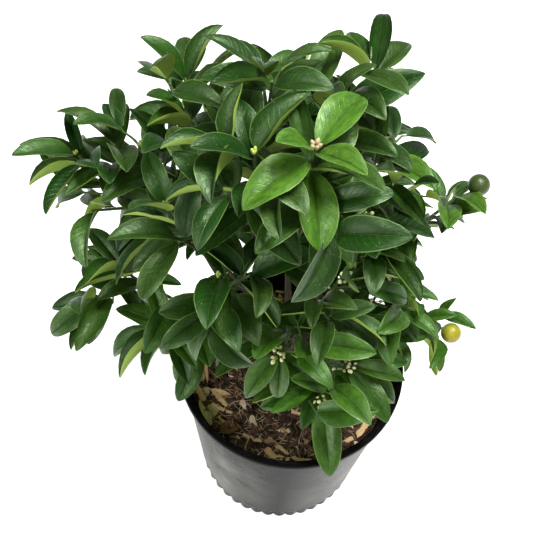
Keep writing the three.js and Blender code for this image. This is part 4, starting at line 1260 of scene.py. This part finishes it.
def soil_wobble(radius, height, turns):
    x, y = radius * np.cos(turns), radius * np.sin(turns)
    top = height > SOIL["level"] - 1
    lumps = np.zeros_like(radius)
    for i, j in zip(*np.nonzero(top)):
        at = Vector((x[i, j] * SOIL_TOP["scale"], y[i, j] * SOIL_TOP["scale"], SOIL_TOP["layer"]))
        lumps[i, j] = noise.fractal(at, *SOIL_TOP["fractal"])
    edge, wide = SOIL_TOP["level_edge"]
    fade = np.clip((edge - radius) / wide, 0, 1)
    return radius, np.where(top, soil_height(x, y) + SOIL_TOP["lumps"] * lumps * fade, height)


def pile_up_soil():
    pile, level, bottom = Pile(), SOIL["level"], POT["floor"] + GAP
    shoulder = level - SOIL["shoulder"]
    edge = inner_radius(shoulder) * math.cos(math.pi / (2 * POT["lobes"])) - GAP
    profile = [(0, bottom), (inner_radius(bottom) - 1, bottom), (edge, shoulder), (edge, level - 4)]
    radii = np.linspace(edge, SOIL_TOP["inmost"], SOIL_TOP["rings"])
    top = [(radius, level) for radius in radii] + [(0, level)]
    add_lathe(pile, profile + top, SOIL_TOP["sectors"], 0, soil_wobble)
    return pile


CHIPS = {
    "seed": 4242, "count": 1150, "spread": 101, "bare": 14, "edge": 104, "length": (5, 20),
    "width": (1.2, 5.5), "thick": (0.7, 1.5), "lift": (0.4, 1.6), "tilt": (0.35, 0.8),
    "tones": (0.6, 0.4, 3), "ragged": 0.5, "taper": (0.45, 0.95, 1, 0.9, 0.4), "core": (0.7, 0.3),
    "bow": 0.16, "ends": 0.12,
}
FIBRES = {
    "count": 950, "spread": 99, "edge": 103, "length": (5, 14), "radii": [0.16, 0.3, 0.34, 0.28, 0.14],
    "lift": (1.6, 1.5), "rise": 0.25, "bend": 0.16, "tiles": (11, 3),
}


def tile_of(number):
    return number % TILES, number // TILES


def on_disc(radius, draw):
    """A random place on a disc."""
    out, turn = radius * math.sqrt(draw[0]), 2 * math.pi * draw[1]
    return out * math.cos(turn), out * math.sin(turn)


def add_chip(pile, centre, heading, tilt, length, width, thick, tile, random):
    """A bark chip: a bent flat prism with ragged ends, lying on the soil."""
    taper = np.array(CHIPS["taper"])[:, None]
    rows = len(taper)
    s = np.linspace(-1, 1, rows)
    ragged = np.array([draws(random, 4) for _ in range(rows)]) - 0.5
    corners = np.array([(-1, -1), (1, -1), (1, 1), (-1, 1)])
    across = (corners[:, 0] * taper * (1 + CHIPS["ragged"] * ragged)) * width / 2
    high = corners[:, 1] * thick / 2 * spread(CHIPS["core"], taper) + (ragged * thick * CHIPS["ragged"])
    bow = (next(random) - 0.5) * CHIPS["bow"] * length * (1 - s**2)
    ahead = (s[:, None] + CHIPS["ends"] * ragged) * length / 2
    local = np.stack([ahead, across + bow[:, None], high], -1).reshape(-1, 3)
    turn = Matrix.Rotation(heading, 3, "Z") @ Matrix.Rotation(tilt[0], 3, "Y")
    turn = turn @ Matrix.Rotation(tilt[1], 3, "X")
    last = 4 * (rows - 1)
    ends = [(0, 2, 1), (0, 3, 2), (last, last + 1, last + 2), (last, last + 2, last + 3)]
    tris, uvs = grid(rows, 4, True)
    uvs = tile_uv(np.concatenate([uvs, np.full((4, 3, 2), 0.5)]), tile)
    pile.add(local @ np.array(turn).T + centre, np.concatenate([tris, ends]), uvs, 0)


def pile_up_mulch():
    """Bark chips, and fine fibres over them."""
    pile, random = Pile(), stream(CHIPS["seed"])
    for _ in range(CHIPS["count"]):
        draw = draws(random, 8)
        x, y = on_disc(CHIPS["spread"], draw)
        if math.hypot(x, y) < CHIPS["bare"]:
            continue
        length, width = spread(CHIPS["length"], draw[2] ** 2), spread(CHIPS["width"], draw[3] ** 2)
        thick = spread(CHIPS["thick"], draw[4])
        even, dark, power = CHIPS["tones"]
        tone = int(TILES**2 * (even * draw[6] + dark * draw[7] ** power))
        tilt = [most * (share - 0.5) for most, share in zip(CHIPS["tilt"], draw[3:5])]
        heading, reach = 2 * math.pi * draw[7], length / 2
        end = abs(x) + abs(math.cos(heading)) * reach, abs(y) + abs(math.sin(heading)) * reach
        if math.hypot(*end) > CHIPS["edge"]:
            continue
        low, play = CHIPS["lift"]
        centre = (x, y, soil_height(x, y) + low + play * draw[5])
        add_chip(pile, centre, heading, tilt, length, width, thick, tile_of(tone), random)
    for _ in range(FIBRES["count"]):
        draw = draws(random, 6)
        x, y = on_disc(FIBRES["spread"], draw)
        heading, length = 2 * math.pi * draw[2], spread(FIBRES["length"], draw[3])
        way = np.array([math.cos(heading), math.sin(heading), FIBRES["rise"] * (draw[4] - 0.5)])
        side = np.array([-way[1], way[0], 0]) * (draw[5] - 0.5) * FIBRES["bend"] * length
        low, play = FIBRES["lift"]
        middle = np.array([x, y, soil_height(x, y) + low + play * draw[4]])
        if max(math.hypot(*(middle + way * s * length / 2)[:2]) for s in (-1, 1)) > FIBRES["edge"]:
            continue
        knots = [middle - way * length / 2 - side, middle + side, middle + way * length / 2 - side]
        first, count = FIBRES["tiles"]
        tile = tile_of(first + int(count * draw[5]))
        add_tube(pile, smooth_line(knots, 4), FIBRES["radii"], 3, 0, tile=tile)
    return pile


# Litter on the soil: where it lies, its heading in degrees, its length and width, and its UV row.
FALLEN_LEAVES = [
    (-74, -58, -51, 38, 17, 0), (-88, -14, -80, 30, 13, 1), (-64, -36, -25, 24, 12, 2),
    (-52, -66, 35, 22, 14, 3), (-86, 4, 85, 30, 11, 1), (40, 78, 20, 44, 17, 1), (-30, 84, 160, 38, 15, 0),
    (82, 30, 70, 40, 14, 2), (26, 2, 140, 26, 10, 1), (-64, 52, 120, 42, 16, 3),
]
# Strips and sticks: the points that each passes through, its thickness, and its UV tile.
STRIPS = [
    (((-97, -24), (-91, -32), (-84, -42)), 3.6, (3, 3)),
    (((-76, -28), (-69, -37), (-61, -44)), 3.4, (2, 3)),
    (((-79, -42), (-68, -49), (-55, -52)), 2.6, (3, 3)),
    (((-42, -74), (-33, -77), (-23, -79)), 2.6, (2, 3)), (((-16, -75), (-5, -84), (4, -90)), 2.8, (3, 3)),
    (((-19, -88), (-8, -94), (5, -96)), 3.4, (2, 3)), (((9, -93), (18, -95), (28, -94)), 2.6, (3, 3)),
    (((58, -73), (75, -60), (84, -46), (92, -34)), 3.4, (3, 3)),
    (((28, 2), (36, -1), (44, -5)), 2.0, (3, 3)), (((-60, 60), (-40, 70), (-20, 68)), 2.6, (3, 3)),
    (((66, 20), (74, 40), (70, 60)), 2.4, (2, 3)), (((-92, 4), (-96, 14), (-90, 26)), 3.0, (3, 2)),
]
LITTER = {"seed": 99, "rise": 0.1, "lift": 5.0, "tilt": 0.5, "fold": (12, 22), "bend": (20, 30)}
STRIP = {"lift": 2.2, "steps": 12, "ends": 0.55, "thick": (0.85, 0.3), "sides": 7, "flat": 0.55}


def pile_up_litter():
    leaves, strips, random = Pile(), Pile(), stream(LITTER["seed"])
    for x, y, heading, length, width, row in FALLEN_LEAVES:
        turn = math.radians(heading)
        ahead = unit(np.array([math.cos(turn), math.sin(turn), LITTER["rise"]]))
        middle = np.array([x, y, soil_height(x, y) + LITTER["lift"]])
        tilted = UP + LITTER["tilt"] * (next(random) - 0.5) * np.cross(ahead, UP)
        fold, bend = (math.radians(spread(LITTER[k], next(random))) for k in ("fold", "bend"))
        leaf = Leaf(middle - ahead * (length / 2 + LEAF["petiole"]), ahead, tilted, length, bend, fold, 0, 0)
        leaf.half_width = width / 2
        add_blade(leaves, leaf, (int(TILES * next(random)), row), random, (0, 0))
        add_stalk(leaves, leaf, (0, row), 0)
    for places, thick, tile in STRIPS:
        knots = [np.array([x, y, soil_height(x, y) + STRIP["lift"] + thick / 2]) for x, y in places]
        line, ends = smooth_line(knots, STRIP["steps"]), STRIP["ends"]
        bulge = [ends + (1 - ends) * math.sin(math.pi * (k + 0.6) / len(line)) for k in range(len(line))]
        radii = [thick * b * spread(STRIP["thick"], next(random)) for b in bulge]
        add_tube(strips, line, radii, STRIP["sides"], 0, tile=tile)
        height = strips.points[-1][:, 2]
        height[:] = height.min() + (height - height.min()) * STRIP["flat"]
    return leaves, strips


# ---------------------------------------------------------------- limbs
FURROWS = {"round": 1.7, "along": 0.16, "fractal": (0.7, 2.0, 4)}
TRUNK_SKIN = {
    "ribs": 5, "depth": 0.16, "power": 8, "turn": 0.7, "furrows": 0.09, "seed": 3, "rings": 72,
    "sides": 40,
}
BOUGH_SKIN = {
    "steps": 44, "sides": 16, "collar": 0.55, "collar_length": 13, "furrows": 0.1, "swell": 0.06,
    "swells": 19, "seed": 11, "seed_step": 7,
}
TWIG_SKIN = {
    "steps": (30, 10), "sides": (8, 7), "scar_gaps": (9, 7), "scars": (0.14, 0.12), "collar": 0.35,
    "collar_length": 3, "sunk": (5, 1.2), "green": (0.45, 1),
}


def bark_relief(seed, depth):
    """Radius factors with long furrows and small knots."""

    def relief(rows, turns):
        made = np.ones((rows, len(turns)))
        for i, j in np.ndindex(made.shape):
            across = FURROWS["round"] * math.cos(turns[j]), FURROWS["round"] * math.sin(turns[j])
            at = Vector((*across, i * FURROWS["along"] + seed))
            made[i, j] += depth * noise.fractal(at, *FURROWS["fractal"])
        return made

    return relief


def trunk_relief(rows, turns):
    furrows = bark_relief(TRUNK_SKIN["seed"], TRUNK_SKIN["furrows"])(rows, turns)
    flare = (1 - np.linspace(0, 1, rows)[:, None]) ** TRUNK_SKIN["power"]
    ribs = np.cos(TRUNK_SKIN["ribs"] * turns[None, :] + TRUNK_SKIN["turn"])
    return furrows + TRUNK_SKIN["depth"] * flare * ribs


def pile_up_limbs(boughs):
    """The trunk with its root flare, and the boughs that swell where they leave it."""
    pile = Pile()
    line, radii = trunk_rings(np.linspace(0, 1, TRUNK_SKIN["rings"]))
    add_tube(pile, line, radii, TRUNK_SKIN["sides"], 0, trunk_relief)
    for k, bough in enumerate(boughs):
        line = bezier(bough["knots"], BOUGH_SKIN["steps"])
        share = np.linspace(0, 1, len(line))
        gone = share * steps_of(line).sum()
        radii = BOUGH["root"] + (BOUGH["tip"] - BOUGH["root"]) * share
        radii = radii * (1 + BOUGH_SKIN["collar"] * np.exp(-((gone / BOUGH_SKIN["collar_length"]) ** 2)))
        radii = radii * (1 + BOUGH_SKIN["swell"] * np.sin(share * BOUGH_SKIN["swells"] + 2 * k))
        relief = bark_relief(BOUGH_SKIN["seed"] + BOUGH_SKIN["seed_step"] * k, BOUGH_SKIN["furrows"])
        add_tube(pile, line, radii, BOUGH_SKIN["sides"], 0, relief)
    return pile


def scarred(line, radii, kind):
    """Radii from the first to the last, with a slight swelling at each leaf scar."""
    gone = np.concatenate([[0], np.cumsum(steps_of(line))])
    every, size = TWIG_SKIN["scar_gaps"][kind], TWIG_SKIN["scars"][kind]
    scars = 1 + size * np.exp(-(((gone % every) - every / 2) ** 2) / 2)
    return (radii[0] + (radii[1] - radii[0]) * np.linspace(0, 1, len(line))) * scars


def pile_up_twigs(masses):
    """The masses' stems, sunk into their boughs, and their twigs, which are greener."""
    pile = Pile()
    for mass in masses:
        line = bezier(mass["knots"], TWIG_SKIN["steps"][0])
        straight, aside = TWIG_SKIN["sunk"]
        back = line[0] - mass["direction"] * straight - unit(line[0] - mass["fork"]) * aside
        line = np.concatenate([back[None], line])
        add_tube(pile, line, scarred(line, (STEM["root"], STEM["tip"]), 0), TWIG_SKIN["sides"][0], 0)
        for twig in mass["all_twigs"]:
            line = smooth_line(twig["line"], TWIG_SKIN["steps"][1])
            gone = np.linspace(0, 1, len(line)) * steps_of(line).sum()
            collar = TWIG_SKIN["collar"] * np.exp(-((gone / TWIG_SKIN["collar_length"]) ** 2))
            radii = scarred(line, twig["radii"], 1) * (1 + collar)
            add_tube(pile, line, radii, TWIG_SKIN["sides"][1], 0, v_range=TWIG_SKIN["green"])
    return pile


# ---------------------------------------------------------------- fruit and buds
FRUIT_SKIN = {
    "share": 0.92, "rings": 26, "sides": 40, "flat": 0.05, "dimple": 0.1, "dimple_width": 0.32,
    "hang": 2.5, "pole": 0.06,
}
FRUIT_STALK = {"back": 2, "on": 1.5, "hang": 4.5, "radii": [1.1, 1.1, 1.0, 1.0, 1.1, 1.3, 1.6]}
FRUIT_CALYX = {"out": 0.93, "along": (-2.2, -0.6, 0.5), "radii": [1.3, 2.3, 3.1]}
# The pixel at which each fruit is seen, and its material.
FRUIT_SEEN = {"right_fruit": ((479, 185), 0), "right_low_fruit": ((451, 333), 1)}
# The clusters of flower buds: the share of the mass's stem at which each sits, and its number of buds.
BUDDED = {
    "front_middle": [(1.0, 7), (0.86, 3)], "front_upper": [(1.0, 5), (0.8, 4)],
    "front_right": [(1.0, 7), (0.82, 6), (0.6, 3)], "front_low": [(1.0, 6), (0.8, 5)],
    "right_middle": [(1.0, 5)], "right_low": [(1.0, 5), (0.75, 3)], "crown_right": [(0.9, 3)],
}
PETAL, CALYX, SHOOT_BUD, OLD_PETAL = range(4)
BUD_SEED = 5150
BUD_SHAPE = {
    "stalk": (0.5, 0.42, 0.5), "width": 0.33, "round": (0.08, 0.88), "power": 0.7, "thin": 0.25,
    "cup": (0.4, 0.14), "cup_radii": (0.5, 0.22, 0.235),
}
# Each kind of cluster: the play of a bud's turn, its angle and length, the pull on it, and its stalk's share
# of its length.
FLOWER_BUDS = {
    "turn": 40, "angle": (25, 45), "pull": 0.7 * BACK, "length": (3.4, 2.4), "stalk": 1.6, "slot": PETAL,
}
OLD_BUDS = {
    "turn": 0, "angle": (26, 10), "pull": 0 * UP, "length": (4.6, 1), "stalk": 0.55, "slot": OLD_PETAL,
    "count": 5, "out": 1.5,
}
SHOOT_BUDS = {
    "turn": 30, "angle": (12, 22), "pull": 0.4 * UP, "length": (3.4, 1.8), "stalk": 0.55,
    "slot": SHOOT_BUD, "count": 4,
}


def add_fruit(pile, centre, direction, slot):
    """A slightly flattened fruit with a dimple at its stalk, and a small green calyx."""
    polar = np.linspace(FRUIT_SKIN["pole"], math.pi - FRUIT_SKIN["pole"], FRUIT_SKIN["rings"])
    radius = FRUIT["radius"] * FRUIT_SKIN["share"]
    dimple = FRUIT_SKIN["dimple"] * np.exp(-((polar / FRUIT_SKIN["dimple_width"]) ** 2))
    profile = radius * (1 - FRUIT_SKIN["flat"] * np.cos(polar) ** 4 - dimple)
    line = centre - direction * (profile * np.cos(polar))[:, None]
    add_tube(pile, line, profile * np.sin(polar), FRUIT_SKIN["sides"], slot)
    collar = centre - direction * radius * FRUIT_CALYX["out"]
    line = np.array([collar + direction * k for k in FRUIT_CALYX["along"]])
    add_tube(pile, line, FRUIT_CALYX["radii"], 12, 2)


def add_bud(pile, base, way, length, kind):
    """A stalk, a calyx and a closed oval bud."""
    stalk = base + way * np.linspace(0, kind["stalk"] * length, 3)[:, None]
    add_tube(pile, stalk, BUD_SHAPE["stalk"], 6, CALYX)
    share = np.linspace(0, 1, 9)
    head = stalk[-1] + way * (length * share)[:, None]
    swell = np.sin(math.pi * spread(BUD_SHAPE["round"], share)) ** BUD_SHAPE["power"]
    wide = BUD_SHAPE["width"] * length * swell
    add_tube(pile, head, np.maximum(wide, BUD_SHAPE["thin"]), 10, kind["slot"])
    below, above = BUD_SHAPE["cup"]
    cup = stalk[-1] + way * np.linspace(-below, above * length, 3)[:, None]
    low, *upper = BUD_SHAPE["cup_radii"]
    add_tube(pile, cup, [low, *(share * length for share in upper)], 8, CALYX)


def add_cluster(pile, base, axis, count, kind, random):
    """Buds round an axis, all drawn one way by the pull."""
    for k in range(count):
        turn = 360 * k / count + (kind["turn"] * next(random) if kind["turn"] else 0)
        turned = branching(axis, turn, spread(kind["angle"], next(random)))
        add_bud(pile, base, unit(turned + kind["pull"]), spread(kind["length"], next(random)), kind)


def pile_up_tips(masses):
    """The fruit on their stalks, and the buds."""
    fruit, buds, random = Pile(), Pile(), stream(BUD_SEED)
    for mass in masses:
        point, direction = mass["line"][-1], unit(mass["line"][-1] - mass["line"][-2])
        if "fruit" in mass["bears"]:
            pixel, slot = FRUIT_SEEN[mass["name"]]
            reach = FRUIT_SKIN["hang"] + FRUIT["radius"] * FRUIT_SKIN["share"]
            hang = way_to_pixel(point, pixel, reach, True)
            start, middle = point - direction * FRUIT_STALK["back"], point + direction * FRUIT_STALK["on"]
            stalk = smooth_line([start, middle, point + hang * FRUIT_STALK["hang"]], 6)
            add_tube(fruit, stalk, FRUIT_STALK["radii"], 8, 2)
            add_fruit(fruit, point + hang * reach, hang, slot)
        elif "young" in mass["bears"]:
            base, axis = point + direction * OLD_BUDS["out"], unit(direction + UP)
            add_cluster(buds, base, axis, OLD_BUDS["count"], OLD_BUDS, random)
        elif mass["name"] in BUDDED:
            for share, count in BUDDED[mass["name"]]:
                add_cluster(buds, *along(mass["line"], share), count, FLOWER_BUDS, random)
        else:
            add_cluster(buds, point, direction, SHOOT_BUDS["count"], SHOOT_BUDS, random)
    return fruit, buds


# ---------------------------------------------------------------- the scene
# How fresh each mass's leaves are, from 0 for dark to 1 for bright.
FRESH = {
    "front_middle": 0.95, "front_right": 0.95, "front_upper": 0.15, "front_low": 1.0, "right_low": 0.9,
    "right_low_fruit": 0.95, "right_fruit": 0.95, "crown_young": 0.15, "right_middle": 0.3,
    "left_low_front": 0.6, "front_left": 0.15, "left_middle": 0.15, "far_left": 0.35, "top_left": 0.3,
    "left_upper": 0.2, "crown_right": 0.1, "crown_left": 0.05, "crown_back": 0.15, "right_upper": 0.3,
}
FRESH_ELSEWHERE = 0.35
FOLIAGE_SEED = 31337
TONE = {"by_spray": 0.45, "by_leaf": 0.5, "sprays": 7, "levels": (0.3, 0.72)}
GROUPS = {
    "leaves_left": (
        "far_left", "left_upper", "left_low", "left_low_front", "left_middle", "front_left", "back_left",
        "back_left_low",
    ),
    "leaves_crown": (
        "top_left", "crown_left", "crown_back", "crown_right", "right_upper", "back_upper", "back_right",
    ),
    "leaves_right": (
        "right_fruit", "right_middle", "right_low_fruit", "right_low", "front_upper", "front_middle",
        "front_right", "front_low", "back_low", "back_right_low",
    ),
    "leaves_young": ("crown_young",),
}


def tone_of(mass, leaf, random):
    """The UV row of a leaf: 0 is dark and old, 3 is bright and young."""
    if leaf.tone is not None:
        return leaf.tone
    spray = sum(map(ord, leaf.owner)) % TONE["sprays"] / TONE["sprays"]
    level = FRESH.get(mass["name"], FRESH_ELSEWHERE) + TONE["by_spray"] * (spray - 0.5)
    level += TONE["by_leaf"] * (next(random) - 0.5)
    return sum(level >= limit for limit in TONE["levels"])


def add_piece(name, pile, materials, nodes, sharp=50):
    piece = make_piece(name, pile, materials, sharp)
    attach(piece, "root")
    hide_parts(*nodes)


def add_foliage(masses, materials):
    random = stream(FOLIAGE_SEED)
    for group, names in GROUPS.items():
        pile = Pile()
        for mass in [mass for mass in masses if mass["name"] in names]:
            for leaf in mass["leaves"]:
                tile = (int(TILES * next(random)), tone_of(mass, leaf, random))
                add_blade(pile, leaf, tile, random)
                add_stalk(pile, leaf, tile)
        add_piece(group, pile, materials, ["foliage_" + name for name in names], 62)


space, boughs, masses = grow_bush()
open_up(space, masses)
grow_finer(space, masses)

leaf_materials = [leaf_top(), leaf_under(), leaf_stalk()]
add_foliage(masses, leaf_materials)
foliage = ["foliage_" + mass["name"] for mass in masses]
limb_nodes = ["trunk"] + ["bough_" + bough["name"] for bough in boughs]
fruit_pile, bud_pile = pile_up_tips(masses)
fruit_materials = [
    fruit_skin("fruit_green", (0.05, 0.085, 0.014), (0.02, 0.045, 0.007), (0.045, 0.065, 0.012)),
    fruit_skin("fruit_turning", (0.3, 0.29, 0.015), (0.09, 0.14, 0.012), (0.42, 0.33, 0.016)),
    leaf_materials[1],
]
bud_materials = [
    petal("petal", (0.6, 0.62, 0.16), (0.95, 0.91, 0.56), (0.8, 0.76, 0.4)), leaf_materials[2], shoot_bud(),
    petal("old_petal", (0.3, 0.33, 0.12), (0.52, 0.42, 0.24), (0.36, 0.25, 0.13)),
]
add_piece("twigs", pile_up_twigs(masses), [twig_bark()], foliage)
add_piece("trunk_and_boughs", pile_up_limbs(boughs), [bark()], limb_nodes, 80)
add_piece("fruit", fruit_pile, fruit_materials, ["foliage_right_fruit", "foliage_right_low_fruit"])
add_piece("buds", bud_pile, bud_materials, foliage)
add_piece("pot_shell", pile_up_pot(), [pot_plastic(), pot_lip()], ["pot"], 35)
add_piece("soil_top", pile_up_soil(), [soil_earth()], ["soil"], 60)
add_piece("bark_chips", pile_up_mulch(), [chip_wood()], ["soil"], 35)
litter_leaves, litter_strips = pile_up_litter()
add_piece("fallen_leaves", litter_leaves, [dry_leaf()], ["soil"], 62)
add_piece("fallen_strips", litter_strips, [chip_wood()], ["soil"])

# ---------------------------------------------------------------- floor, camera and light
bpy.ops.mesh.primitive_plane_add(size=14)
floor = bpy.context.object
floor.name = "floor"
floor.data.materials.append(white_floor())

camera_data = bpy.data.cameras.new("camera")
camera_data.lens, camera_data.sensor_width = VIEW["lens"], VIEW["sensor"]
camera = bpy.data.objects.new("camera", camera_data)
bpy.context.scene.collection.objects.link(camera)
camera_turn = Matrix(np.stack([RIGHTWARDS, UPWARDS, BACK], 1).tolist())
camera.matrix_world = Matrix.Translation(EYE * MM) @ camera_turn.to_4x4()
bpy.context.scene.camera = camera


def softbox(name, place, target, size, power):
    light = bpy.data.lights.new(name, "AREA")
    light.shape, light.size, light.energy = "DISK", size, power
    made = bpy.data.objects.new(name, light)
    bpy.context.scene.collection.objects.link(made)
    made.location = place
    made.rotation_mode = "QUATERNION"
    made.rotation_quaternion = (Vector(target) - Vector(place)).to_track_quat("-Z", "Y")


softbox("key_light", (0.45, 0.1, 2.1), (0, 0, 0.35), 0.8, 55)
softbox("side_light", (-1.1, -1.1, 1.5), (0, 0, 0.3), 0.9, 22)

world = bpy.data.worlds.new("studio")
world.use_nodes = True
world.node_tree.nodes["Background"].inputs["Color"].default_value = (1, 1, 1, 1)
world.node_tree.nodes["Background"].inputs["Strength"].default_value = 0.2
bpy.context.scene.world = world
bpy.context.scene.view_settings.view_transform = "Standard"

bpy.context.view_layer.update()
